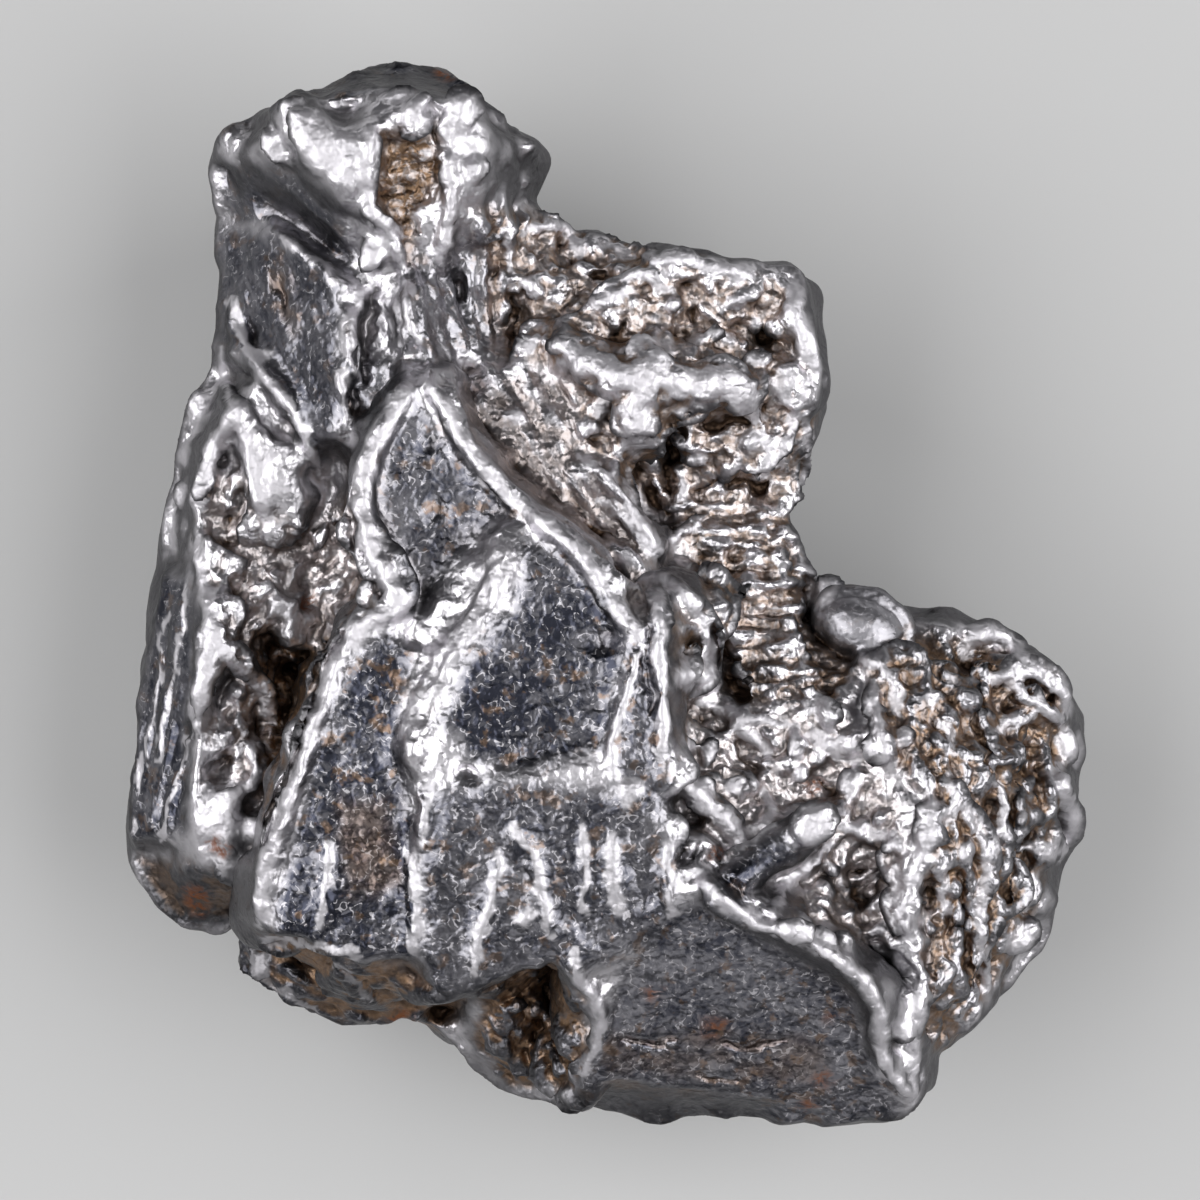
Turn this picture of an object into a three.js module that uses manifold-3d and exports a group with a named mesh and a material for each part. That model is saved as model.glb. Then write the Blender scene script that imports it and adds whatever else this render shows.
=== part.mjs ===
// Iron meteorite: one natural nugget of nickel iron, lying on its flattest side.
// Millimetres, +Z up. The face with the ridges looks up, its narrow head points to +Y.
// Points are written [x, y, z] on the face, with y counted from its lower end and z from the
// resting face. The finished mesh is moved so that the origin is under the outline's middle.

import * as THREE from 'three';
import { ConvexGeometry } from 'three/addons/geometries/ConvexGeometry.js';
import { mergeVertices } from 'three/addons/utils/BufferGeometryUtils.js';
import Module from 'manifold-3d';

const wasm = await Module();
wasm.setup();

// Driving dimensions: the outline of the face, and the spacing of the vertices on it
const LEFT = -12.0;
const RIGHT = 11.9;
const LOW = 0.05;
const HIGH = 26.3;
const CELL = 0.34;
const MARGIN = 0.35;
const MIDDLE_X = (LEFT + RIGHT) / 2;
const MIDDLE_Y = (LOW + HIGH) / 2;

// Limits of the working space, above and below the nugget
const SKY = 40;
const BELOW = -5;
const SWEEP = 8;

// How finely crests are followed, and how close a vertex must be to be drawn onto one
const CREST_STEP = 0.5;
const SNAP_SHARE = 0.36;
const SCATTER_SHARE = 0.24;
const OUTER_PASSES = 3;
const FILLET_PASSES = 2;
const FILLET_SHARE = 0.5;

// Solids from three.js geometry

function solidOf(geometry) {
  const bare = geometry.clone();
  bare.deleteAttribute('normal');
  bare.deleteAttribute('uv');
  const welded = mergeVertices(bare);
  const vertProperties = Float32Array.from(welded.attributes.position.array);
  const triVerts = Uint32Array.from(welded.index.array);
  return new wasm.Manifold(new wasm.Mesh({ numProp: 3, vertProperties, triVerts }));
}

function geometryOf(solid) {
  const mesh = solid.getMesh();
  const geometry = new THREE.BufferGeometry();
  geometry.setAttribute('position', new THREE.BufferAttribute(mesh.vertProperties, 3));
  geometry.setIndex(new THREE.BufferAttribute(mesh.triVerts, 1));
  return geometry;
}

function hull(points) {
  return solidOf(new ConvexGeometry(points.map((p) => new THREE.Vector3(...p))));
}

function union(solids) {
  return solids.reduce((sum, solid) => sum.add(solid));
}

// Masses: each is the convex block of its corner points

const MASSES = {
  columnCore: [
    [-9.0, 23.2, 5.0], [-5.4, 25.4, 5.0], [-2.2, 23.4, 5.0], [-1.0, 21.8, 5.0], [-9.2, 20, 5.0],
    [-10.2, 16, 4.8], [-11.2, 9, 4.8], [-10.4, 6.4, 4.8], [-8, 3.8, 4.8], [-3.4, 1.8, 4.5],
    [1, 1.2, 4.5], [3, 12, 5.0], [-8.6, 21.6, 1.9], [-4.6, 23.9, 2.0], [-2.4, 22.2, 1.8],
    [-9.5, 13.5, 1.7], [-9.8, 8.2, 1.9], [-7.6, 5.0, 1.7], [-2.4, 3.0, 1.8], [1.2, 8, 1.8],
    [-6.2, 19.5, -0.5], [-3.8, 20.5, -0.5], [-7.4, 11, -0.5], [-6.4, 7.6, -0.5],
    [-1.2, 6, -0.5], [0.6, 10, -0.5], [-2.6, 18, -0.5],
  ],
  rightCore: [
    [1, 1.0, 4.6], [7.4, 0.8, 4.8], [9.8, 3.8, 4.6], [11.2, 7.2, 4.6], [11.2, 9.8, 4.6],
    [9.4, 11.8, 4.8], [5.2, 12.8, 5.2], [0, 12, 5.0], [1.0, 2.4, 1.8], [6.8, 2.0, 1.9],
    [9.2, 5.0, 1.7], [9.8, 8.6, 1.9], [8.2, 10.8, 1.8], [4.6, 11.8, 1.8], [0.8, 5.4, -0.5],
    [5.8, 4.6, -0.5], [7.6, 6.6, -0.5], [7.2, 8.8, -0.5], [3.8, 10, -0.5], [0, 10, -0.5],
  ],
  upperCore: [
    [-1.2, 21.8, 5.2], [4.3, 20.4, 5.2], [4.8, 18.4, 5.2], [4.5, 15.6, 5.2], [4.4, 13.6, 5.2],
    [-2, 14, 5.0], [-1.2, 20.6, 1.8], [3.6, 19.4, 2.0], [3.8, 15.8, 1.9], [-1.2, 14, 1.8],
    [-1.2, 18.4, -0.5], [2.0, 17.4, -0.5], [2.2, 15.2, -0.5], [-1.4, 14, -0.5],
  ],
  head: [
    [-9.4, 24.2, 6.6], [-9.45, 22.6, 6.2], [-9.3, 21.8, 5.8], [-8.3, 24.95, 6.8],
    [-7.1, 25.55, 7.0], [-5.5, 26.3, 7.0], [-4.2, 26.15, 7.0], [-3.2, 25.5, 6.8],
    [-2.2, 24.7, 6.4], [-1.5, 24.0, 6.2], [-1.8, 23.2, 6.2],
    [-8.9, 24.0, 9.2], [-7.9, 24.9, 9.4], [-6.6, 25.2, 10.0], [-4.8, 25.4, 10.2],
    [-3.4, 25.0, 9.8], [-7.2, 24.2, 10.6], [-6.3, 23.0, 10.5], [-5.7, 24.2, 10.8],
    [-4.0, 24.6, 10.7], [-3.2, 24.2, 10.4], [-2.2, 24.1, 9.4], [-3.0, 22.8, 9.8],
    [-3.6, 21.6, 9.5], [-5.0, 21.6, 10.0], [-6.0, 20.8, 9.2], [-2.6, 21.6, 8.2],
    [-8.8, 21.8, 7.2], [-7.5, 23.4, 3.0], [-4, 24.2, 3.0], [-2.8, 23, 3.2], [-6, 21, 2.0],
  ],
  drapery: [
    [-9.55, 22.3, 6.4], [-9.6, 20.5, 6.2], [-9.9, 18.7, 6.0], [-9.0, 20.6, 7.9],
    [-8.2, 21.9, 8.6], [-7.0, 21.1, 9.2], [-6.3, 20.4, 9.8], [-6.05, 19.6, 10.0],
    [-6.2, 18.4, 10.0], [-6.35, 17.4, 9.8], [-6.6, 16.6, 9.5], [-7.2, 17.2, 9.2],
    [-8.2, 18.5, 8.8], [-8.9, 19.2, 8.3], [-9.6, 19.0, 7.2], [-7, 20, 2.0], [-8.5, 20, 3.0],
    [-6.5, 17, 2.0],
  ],
  neck: [
    [-6.0, 22.2, 9.0], [-4.2, 22.2, 9.0], [-5.8, 20.4, 9.3], [-4.3, 20.4, 9.9],
    [-3.7, 20.6, 8.8], [-5.6, 18.4, 9.4], [-4.0, 18.2, 10.0], [-3.1, 18.6, 8.8],
    [-4.7, 19.2, 10.2], [-5, 20, 3.0], [-4, 19, 3.0],
  ],
  leftFlank: [
    [-12.0, 7.2, 5.4], [-11.9, 8.3, 5.4], [-11.6, 9.8, 5.4], [-11.3, 11.3, 5.4],
    [-11.0, 12.6, 5.4], [-10.85, 13.7, 5.6], [-10.75, 15.2, 5.8], [-10.45, 16.3, 6.2],
    [-10.4, 17.8, 6.4], [-9.9, 18.6, 6.4], [-10.1, 15.6, 8.2], [-10.0, 14.0, 8.6],
    [-9.7, 12.6, 9.0], [-9.75, 11.6, 9.2], [-9.95, 10.2, 9.0], [-10.2, 8.6, 8.8],
    [-10.3, 7.6, 8.4], [-9.8, 16.6, 8.2], [-9.4, 17.6, 8.4], [-8.8, 12.4, 8.6],
    [-8.6, 10.6, 8.4], [-8.6, 9.0, 8.3], [-8.8, 7.4, 8.2], [-9.0, 14.6, 7.8], [-8.4, 16, 7.8],
    [-8.6, 18, 7.8], [-10.6, 8, 2.0], [-10, 13, 2.0], [-9.4, 17, 2.5], [-8, 8, 2.0],
    [-8, 17, 2.0],
  ],
  leafFacet: [
    [-9.05, 17.6, 9.2], [-8.2, 17.3, 9.3], [-7.2, 15.9, 9.2], [-7.3, 15.0, 9.0],
    [-8.2, 14.1, 8.8], [-8.8, 15.5, 9.0], [-8.6, 16.8, 5.0], [-7.6, 15.3, 5.0],
    [-8.2, 14.5, 5.0],
  ],
  leftValley: [
    [-9.2, 15.6, 7.4], [-8.8, 8.2, 7.4], [-6.4, 8, 7.4], [-5.6, 14, 7.6], [-6.0, 16.6, 8.2],
    [-7.0, 17, 8.2], [-8.8, 12, 7.4], [-8.5, 15, 3.0], [-8.5, 8.5, 3.0], [-6, 8.5, 3.0],
    [-6, 16, 3.0],
  ],
  archPlate: [
    [-4.7, 18.2, 10.2], [-5.3, 17.2, 10.5], [-5.8, 16.0, 10.7], [-5.9, 15.0, 10.8],
    [-5.5, 14.0, 11.0], [-4.9, 12.8, 11.2], [-4.2, 18.1, 10.3], [-3.3, 16.6, 10.6],
    [-2.2, 15.3, 10.9], [-0.9, 14.2, 11.3], [0.2, 12.8, 11.6], [0.7, 12.1, 11.8],
    [-3.5, 12, 11.7], [-5, 15, 4.0], [-2.2, 14.2, 4.0], [-4, 12, 4.0], [0, 12, 5.0],
  ],
  mainPlate: [
    [-4.9, 12.7, 11.3], [-5.6, 12.5, 11.2], [-6.1, 12.1, 11.2], [-6.55, 11.3, 11.3],
    [-7.2, 9.3, 11.4], [-7.65, 8.1, 11.2], [-8.0, 7.1, 11.0], [-8.35, 5.2, 10.2],
    [-8.1, 4.8, 9.8], [-6.1, 4.4, 10.2], [-5.8, 3.6, 9.8], [-4.4, 3.2, 10.0],
    [-3.0, 3.4, 10.4], [-1.4, 4.2, 11.0], [-0.2, 5.2, 11.8], [1.8, 7.0, 12.3],
    [1.6, 8.6, 12.4], [1.2, 10.4, 12.2], [0.9, 11.7, 12.0], [-3.5, 9, 12.3],
    [-3, 6.5, 12.1], [-5.5, 8, 12.0], [-7.6, 9.3, 9.6], [-8.5, 6.6, 9.0], [-7.0, 11.2, 9.6],
    [-7, 6, 4.0], [-2, 4.8, 4.0], [1, 7, 4.0], [-5, 11, 4.0], [0, 11, 4.0],
  ],
  lowerWedge: [
    [2.0, 6.9, 12.3], [2.9, 5.8, 12.2], [4.2, 5.1, 11.9], [5.5, 4.4, 11.6], [6.4, 3.6, 11.0],
    [6.6, 2.5, 10.2], [7.1, 1.1, 9.0], [7.6, 0.5, 8.2], [8.1, 0.9, 7.0], [8.2, 1.7, 6.8],
    [7.2, 0.05, 6.8], [5.3, 0.2, 6.4], [2.2, 0.05, 6.0], [0.2, 0.2, 5.8], [-1.4, 0.45, 6.0],
    [-0.6, 1.3, 8.2], [-0.2, 2.4, 9.6], [-0.4, 3.4, 10.4], [-0.8, 4.3, 11.0],
    [0.5, 2.5, 2.0], [6.5, 2.4, 2.2], [1, 6, 2.0], [7.4, 1.6, 3.0], [-0.8, 1.2, 3.0],
  ],
  ribbedBlock: [
    [5.0, 13.4, 6.0], [6.3, 13.1, 6.2], [7.2, 12.3, 6.0], [8.9, 12.5, 5.8], [10.0, 12.2, 5.6],
    [11.0, 11.3, 5.4], [11.55, 10.4, 5.4], [11.9, 9.3, 5.2], [11.9, 7.7, 5.2],
    [11.8, 6.8, 5.0], [11.1, 6.2, 5.0], [10.9, 4.6, 5.2], [10.4, 3.7, 5.4], [9.3, 2.5, 5.8],
    [8.4, 1.9, 6.2], [6.4, 12.0, 8.8], [7.6, 11.4, 9.4], [9.2, 11.2, 8.8], [10.8, 10.6, 7.8],
    [6.8, 9.0, 10.2], [7.6, 7.2, 10.4], [9.4, 8.0, 9.4], [11.2, 8.2, 7.4], [7.2, 5.2, 10.4],
    [9.1, 5.2, 9.0], [10.3, 5.4, 7.6], [7.5, 3.0, 9.8], [7.6, 1.6, 8.8], [9.0, 3.4, 8.0],
    [6, 11, 2.0], [9.5, 9.5, 2.0], [9.5, 5.5, 2.0], [7.5, 3, 2.0], [10.8, 8, 3.0],
  ],
  spongyFloor: [
    [1.2, 12, 9.0], [2.4, 10.6, 9.2], [6.4, 10.8, 9.4], [7, 8, 9.8], [2.2, 7, 10.6],
    [4, 5.2, 10.4], [6.8, 4.4, 9.9], [6.0, 11.8, 8.4], [2, 8, 4.0], [6, 8, 4.0], [4, 10, 4.0],
  ],
  ledgeColumn: [
    [1.2, 15.8, 8.2], [4.5, 15.2, 7.6], [4.75, 14.2, 7.4], [4.9, 13.4, 7.4], [1.0, 12, 9.0],
    [4.5, 11.2, 8.8], [5.8, 11.6, 8.4], [1, 14, 8.6], [2, 14, 2.0], [4, 13, 2.0],
  ],
  upperBlock: [
    [-0.9, 22.25, 7.0], [0.3, 21.9, 7.0], [1.2, 21.6, 6.8], [3.0, 21.15, 6.6],
    [4.5, 20.95, 6.6], [5.0, 20.5, 6.4], [5.3, 19.2, 6.2], [5.45, 18.3, 6.2],
    [5.1, 16.8, 6.2], [4.95, 15.6, 6.4], [4.4, 15.1, 6.6], [-0.4, 20.6, 9.0],
    [1.2, 21.0, 9.2], [3.4, 20.8, 9.0], [4.4, 20.5, 8.8], [4.9, 19.2, 8.8], [4.8, 17.8, 8.8],
    [4.3, 16.2, 8.6], [1.3, 16.0, 8.8], [0.2, 17.0, 9.4], [-0.8, 18.8, 9.4], [1.4, 18.6, 9.6],
    [0, 19.5, 2.0], [3.3, 19, 2.2], [3.3, 16.5, 2.2], [0, 16, 2.0],
  ],
  saddle: [
    [-3.2, 22.6, 8.0], [-1.7, 22.8, 7.2], [-0.8, 22.0, 7.4], [-3.6, 20, 8.8], [-2.2, 19, 9.0],
    [-0.4, 18.6, 9.2], [-3.2, 17, 9.6], [-1.0, 16, 9.7], [0.9, 14.4, 9.8], [1.3, 13, 9.8],
    [0.5, 16.4, 9.3], [-2, 20, 2.0], [0, 15, 2.0], [-2, 17, 2.0],
  ],
  toe: [
    [-9.2, 3.8, 6.4], [-9.05, 4.9, 6.6], [-8.3, 3.1, 6.2], [-7.4, 2.55, 6.0], [-6.4, 2.4, 5.8],
    [-4.6, 2.4, 5.6], [-3.9, 2.4, 6.0], [-8.6, 4.1, 7.8], [-7.4, 3.2, 7.8], [-6.2, 3.4, 8.4],
    [-5, 3.2, 8.4], [-7, 5, 8.6], [-7.5, 4.5, 3.0], [-5, 4, 2.5],
  ],
  heel: [
    [-3.95, 2.2, 6.0], [-3.5, 1.2, 5.6], [-2.7, 0.55, 5.4], [-1.2, 0.4, 5.4], [-2.9, 2.2, 7.0],
    [-2.0, 1.2, 6.8], [-0.8, 1.0, 7.6], [-1.5, 3.2, 8.4], [-3.2, 3.2, 8.4], [-2.5, 2.5, 2.5],
    [-1, 2, 2.5],
  ],
  loopLump: [
    [1.2, 13.6, 11.0], [1.8, 13.4, 10.9], [2.4, 12.4, 10.8], [2.65, 11.5, 10.6],
    [2.2, 10.9, 10.8], [1.4, 10.9, 11.2], [1.6, 12.6, 7.0], [2, 11.4, 7.0],
  ],
  diamondCrystal: [
    [-8.1, 13.6, 8.9], [-7.3, 12.7, 8.6], [-7.5, 12.0, 8.2], [-8.5, 12.5, 8.6], [-7.9, 12.8, 6.0],
  ],
  fieldBlock: [
    [3.3, 10.4, 9.9], [6.0, 10.5, 10.0], [5.9, 11.2, 9.6], [3.5, 11.2, 9.5], [4.6, 10.8, 6.0],
  ],
  foot: [
    [-12.0, 7.2, 5.4], [-11.6, 6.2, 5.4], [-11.0, 5.4, 5.6], [-10.5, 4.9, 5.6],
    [-9.8, 4.65, 5.6], [-9.5, 5.2, 6.2], [-9.0, 5.5, 7.0], [-10.3, 6.0, 7.6],
    [-9.2, 6.4, 8.2], [-10.4, 7.6, 8.4], [-9.6, 8.0, 8.8], [-8.4, 7.2, 8.2], [-10.5, 7, 2.5],
    [-9, 6.5, 2.0],
  ],
};

const mass = union(Object.values(MASSES).map(hull));

// Height of the bare masses over a point of the face

const massMesh = new THREE.Mesh(geometryOf(mass), new THREE.MeshBasicMaterial());
const plumbLine = new THREE.Raycaster();
const DOWN = new THREE.Vector3(0, 0, -1);
const AROUND = [[0, 0], [1, 0], [-1, 0], [0, 1], [0, -1]];

function groundAt(x, y, reach = 0) {
  const probes = reach > 0 ? AROUND : AROUND.slice(0, 1);
  const heights = probes.map(([stepX, stepY]) => {
    plumbLine.set(new THREE.Vector3(x + stepX * reach, y + stepY * reach, SKY), DOWN);
    const [nearest] = plumbLine.intersectObject(massMesh);
    return nearest ? nearest.point.z : 0;
  });
  return Math.max(...heights);
}

// Ridges: [half width, how far the crest stands proud, path over the face]. A path point
// with a third number gives the crest's own height there.

const RIDGES = [
  // front plate: left crest, arch crests, bright band, right crests, low streaks
  [0.55, 0.55, [[-5, 12.65], [-6, 12.2], [-6.5, 11.4], [-7.2, 9.3], [-7.9, 7.3], [-8.25, 5.2]]],
  [0.6, 0.7, [[-4.8, 18], [-5.6, 16.6], [-5.9, 15], [-5.2, 13.6], [-4.95, 12.7]]],
  [0.55, 0.65, [[-4.2, 18.2], [-3.3, 16.6], [-2.2, 15.3], [-0.9, 14.3], [0.2, 12.8], [0.7, 12.1]]],
  [0.8, 0.5, [[-2.4, 14.4], [-2.4, 13.2], [-3.5, 11.5], [-4.5, 9.8], [-4.7, 9.2]]],
  [0.45, 0.3, [[0.9, 11.8], [0.5, 11], [0.3, 10], [0.2, 9.3]]],
  [0.5, 0.4, [[1.3, 13.1], [1.2, 11.4], [1.3, 10.2], [1.5, 8.8]]],
  [0.4, 0.2, [[-6.6, 7], [-6.7, 6], [-6.9, 5.2]]],
  [0.4, 0.2, [[-4.6, 6.9], [-4.55, 4.6]]],
  [0.4, 0.25, [[-2.6, 7], [-2.7, 5.6], [-3.1, 4.8], [-3.15, 3.8]]],
  [0.4, 0.25, [[-2.2, 7.6], [-1.7, 6.8], [-1.5, 5.6], [-1.2, 4.7]]],
  [0.45, 0.3, [[0.2, 7.3], [0.3, 5.4]]],
  [0.4, 0.25, [[1.5, 7.1], [1.5, 5.3]]],
  // lower wedge
  [0.6, 0.6, [[2.3, 6.3], [2.9, 5.7], [4.2, 5.1], [5.5, 4.4], [6.5, 3.3], [6.7, 1.8], [7.5, 0.6]]],
  [0.6, 0.35, [[-0.7, 4.6], [-0.8, 4], [-0.2, 3.2], [-0.2, 2.2], [-0.6, 1.3]]],
  [0.45, 0.35, [[7.5, 4], [7.6, 3], [7.5, 1.6], [7.6, 0.7]]],
  // head lobes, posts of the window, sticks down the neck
  [0.75, 0.4, [[-7.6, 24.7], [-6.9, 23.9], [-6.2, 23]]],
  [0.4, 0.35, [[-5.65, 24.2], [-5.75, 23], [-5.6, 22.3], [-5, 21.8]]],
  [0.4, 0.3, [[-3.9, 23.6], [-3.7, 22.8], [-3.9, 21.4]]],
  [0.35, 0.35, [[-5.1, 21.8], [-4.95, 21.2]]],
  [0.4, 0.4, [[-4.8, 20.6], [-4.6, 19.1]]],
  [0.4, 0.3, [[-6, 20.4], [-6.2, 19.5], [-6.15, 18.4]]],
  [0.4, 0.3, [[-6.4, 18.4], [-6.3, 17.4], [-6.5, 16.9]]],
  // folds of the left shoulder, split ridge below them, left face
  [0.4, 0.25, [[-8, 21.9], [-7, 21], [-6.4, 20.5]]],
  [0.45, 0.35, [[-8.9, 19.1], [-8.2, 18.4], [-7.4, 17.3], [-7, 16]]],
  [0.4, 0.35, [[-9, 17.6], [-9.7, 16.6], [-10, 15.5]]],
  [0.5, 0.35, [[-9.65, 12.8], [-9.7, 11.8], [-9.9, 10.2]]],
  [0.4, 0.3, [[-9.3, 11.7], [-8.4, 10.8]]],
  [0.4, 0.35, [[-8.6, 9.3], [-8.7, 8.5], [-9.4, 8.1]]],
  [0.3, 0.2, [[-10.3, 13], [-10.6, 11], [-10.95, 9]]],
  // spongy upper right block, with the pale forked lump
  [0.45, 0.3, [[1.2, 21.2], [3.5, 20.9]]],
  [0.5, 0.4, [[4.5, 20.5], [4.7, 19.8], [5, 19.2], [5.1, 18.6]]],
  [0.6, 1.0, [[-0.7, 18.7], [0.2, 18.3], [1.2, 18.4], [2, 18.2], [3, 18.2], [3.5, 17.6]]],
  [0.6, 0.95, [[1.3, 19.1], [1.1, 18.3], [0.7, 17.5], [0.7, 16.8]]],
  [0.4, 0.35, [[4.2, 18], [4.6, 17.7], [5, 18.1]]],
  [0.4, 0.35, [[4.6, 17.5], [4.2, 16.2]]],
  [0.45, 0.4, [[-0.5, 16.3], [0.5, 15.3], [1.2, 14.2]]],
  [0.35, 0.3, [[1.5, 14.4], [2.3, 14.9]]],
  [0.35, 0.3, [[-2.4, 22], [-2.3, 21.1]]],
  // ribbed right block and its knots
  [0.4, 0.35, [[6.3, 11.5], [6.9, 10.9], [6.5, 10.1], [6.8, 9.2]]],
  [0.45, 0.4, [[7.7, 8], [7.6, 7.2], [7.4, 6.3]]],
  [0.45, 0.4, [[7.1, 5.8], [7.2, 4.7]]],
  [0.45, 0.4, [[8.3, 12.1], [9.1, 12.1], [9.9, 11.9]]],
  [0.5, 0.5, [[9.6, 11.1], [10.5, 11.1], [11.1, 10.7]]],
  [0.45, 0.45, [[10, 10], [10.6, 10.4], [11.2, 10.2]]],
  [0.4, 0.4, [[11.1, 8.7], [11.4, 7.7], [11.5, 7]]],
  // field between the plate and the ribbed block
  [0.75, 0.8, [[3.3, 6.5, 11.7], [5.1, 7.6, 11.6]]],
  [0.35, 0.35, [[4, 5.6], [4.4, 6.1], [5.4, 7]]],
  [0.55, 0.6, [[2.1, 8.3, 11.3], [3.4, 7.2, 11.2]]],
  [0.4, 0.4, [[2.5, 9.8], [3.8, 9.95], [5, 9.8]]],
  [0.4, 0.4, [[5.3, 10.5], [5.4, 9.8]]],
  // toe
  [0.4, 0.3, [[-6.4, 4], [-5.9, 3.3]]],
];

// Slanted flutes on the right cheek of the head
const CHEEK_FLUTES = 3;
const CHEEK_PITCH = 0.6;
for (let i = 0; i < CHEEK_FLUTES; i += 1) {
  const shift = i * CHEEK_PITCH;
  const path = [[-3.2 + shift, 23.2 - shift], [-3.1 + shift, 22.2 - shift / 2], [-3.3 + shift, 21]];
  RIDGES.push([0.3, 0.25, path]);
}

// Ribs on the slope beside the arch
const SLOPE_RIBS = 3;
const SLOPE_PITCH = 0.7;
for (let i = 1; i <= SLOPE_RIBS; i += 1) {
  const shift = i * SLOPE_PITCH;
  const rise = shift / 2;
  const path = [[-3.6 + shift, 18 + rise], [-2.6 + shift, 16.4 + rise], [-1.9 + shift, 15.6]];
  RIDGES.push([0.33, 0.2, path]);
}

// Stepped ledges between the two right-hand blocks
const LEDGE_LEVELS = [15.0, 14.4, 13.7, 13.0, 12.2, 11.3];
LEDGE_LEVELS.forEach((level, i) => {
  const sway = 0.12 * Math.sin(2.3 * i);
  const path = [[2.0 + sway, level - 0.05], [3.3, level + sway], [4.6 + sway, level + 0.08]];
  RIDGES.push([0.36, 0.5, path]);
});

// Wavy upright ribs of the right block
const RIB_COUNT = 5;
const RIB_PITCH = 0.7;
const RIB_FIRST = 7.8;
for (let i = 0; i < RIB_COUNT; i += 1) {
  const x = RIB_FIRST + i * RIB_PITCH;
  const lean = 0.12 * Math.cos(1.7 * i);
  const top = 10.4 - 0.3 * i;
  const foot = 3.2 + 0.5 * i;
  const third = (top - foot) / 3;
  const path = [[x - lean, top], [x + lean, top - third], [x - lean, foot + third], [x + lean, foot]];
  RIDGES.push([0.34, 0.5, path]);
}

// Lumps: [x, y, half length, half width, how far it stands proud, turn in degrees]

const LUMPS = [
  // head
  [-9.0, 24.1, 0.5, 0.5, 0.35, 0], [-8.1, 23.9, 0.5, 0.4, 0.3, 0], [-4.5, 24.8, 0.6, 0.5, 0.4, 0],
  [-3.5, 24.7, 0.55, 0.5, 0.45, 0], [-2.0, 24.1, 0.5, 0.5, 0.45, 0], [-5.5, 21.3, 0.5, 0.5, 0.4, 0],
  // left side
  [-10.15, 17.8, 0.45, 0.4, 0.35, 90], [-9.95, 15.7, 0.4, 0.4, 0.35, 0], [-9.6, 7.7, 0.9, 0.7, 0.45, 20],
  [-8.6, 7.3, 0.5, 0.45, 0.35, 0],
  // upper right block and saddle
  [1.0, 20.8, 0.45, 0.35, 0.35, 0], [1.5, 20.3, 0.4, 0.35, 0.35, 90], [0.1, 20.3, 0.5, 0.4, 0.35, 0],
  [4.4, 18.5, 0.4, 0.4, 0.45, 0], [3.7, 18.8, 0.45, 0.4, 0.35, 0], [3.6, 16.8, 0.5, 0.4, 0.35, 0],
  [-1.5, 22.1, 0.6, 0.4, 0.35, -30], [-0.7, 21.7, 0.45, 0.45, 0.35, 0], [-1.8, 20.7, 0.45, 0.45, 0.35, 0],
  // right block, with the smooth knob on its shoulder
  [6.2, 12.4, 1.2, 0.8, 1.3, -15], [5.4, 13.0, 0.6, 0.5, 0.4, 0], [11.3, 9.5, 0.6, 0.45, 0.45, 90],
  [10.3, 6.9, 0.45, 0.4, 0.35, 0], [10.1, 7.8, 0.4, 0.4, 0.35, 0], [10.4, 4.6, 0.6, 0.45, 0.35, 30],
  // field between the plate and the ribbed block
  [4.8, 5.2, 0.55, 0.5, 0.45, 0], [2.5, 9.4, 0.5, 0.45, 0.5, 0], [3.1, 8.5, 0.45, 0.45, 0.45, 0],
  [3.9, 7.9, 0.5, 0.4, 0.45, 40], [4.6, 9.2, 0.5, 0.45, 0.45, 0], [5.8, 9.5, 0.5, 0.45, 0.5, 90],
  [6.6, 7.3, 0.5, 0.45, 0.5, 0], [5.9, 8.4, 0.45, 0.4, 0.4, 0],
  // toe
  [-8.75, 3.75, 0.5, 0.4, 0.35, 0], [-7.8, 2.95, 0.5, 0.4, 0.35, 0], [-7.6, 3.5, 0.45, 0.4, 0.35, 0],
];

// Pits: [x, y, half length, half width, depth, turn in degrees]

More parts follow.
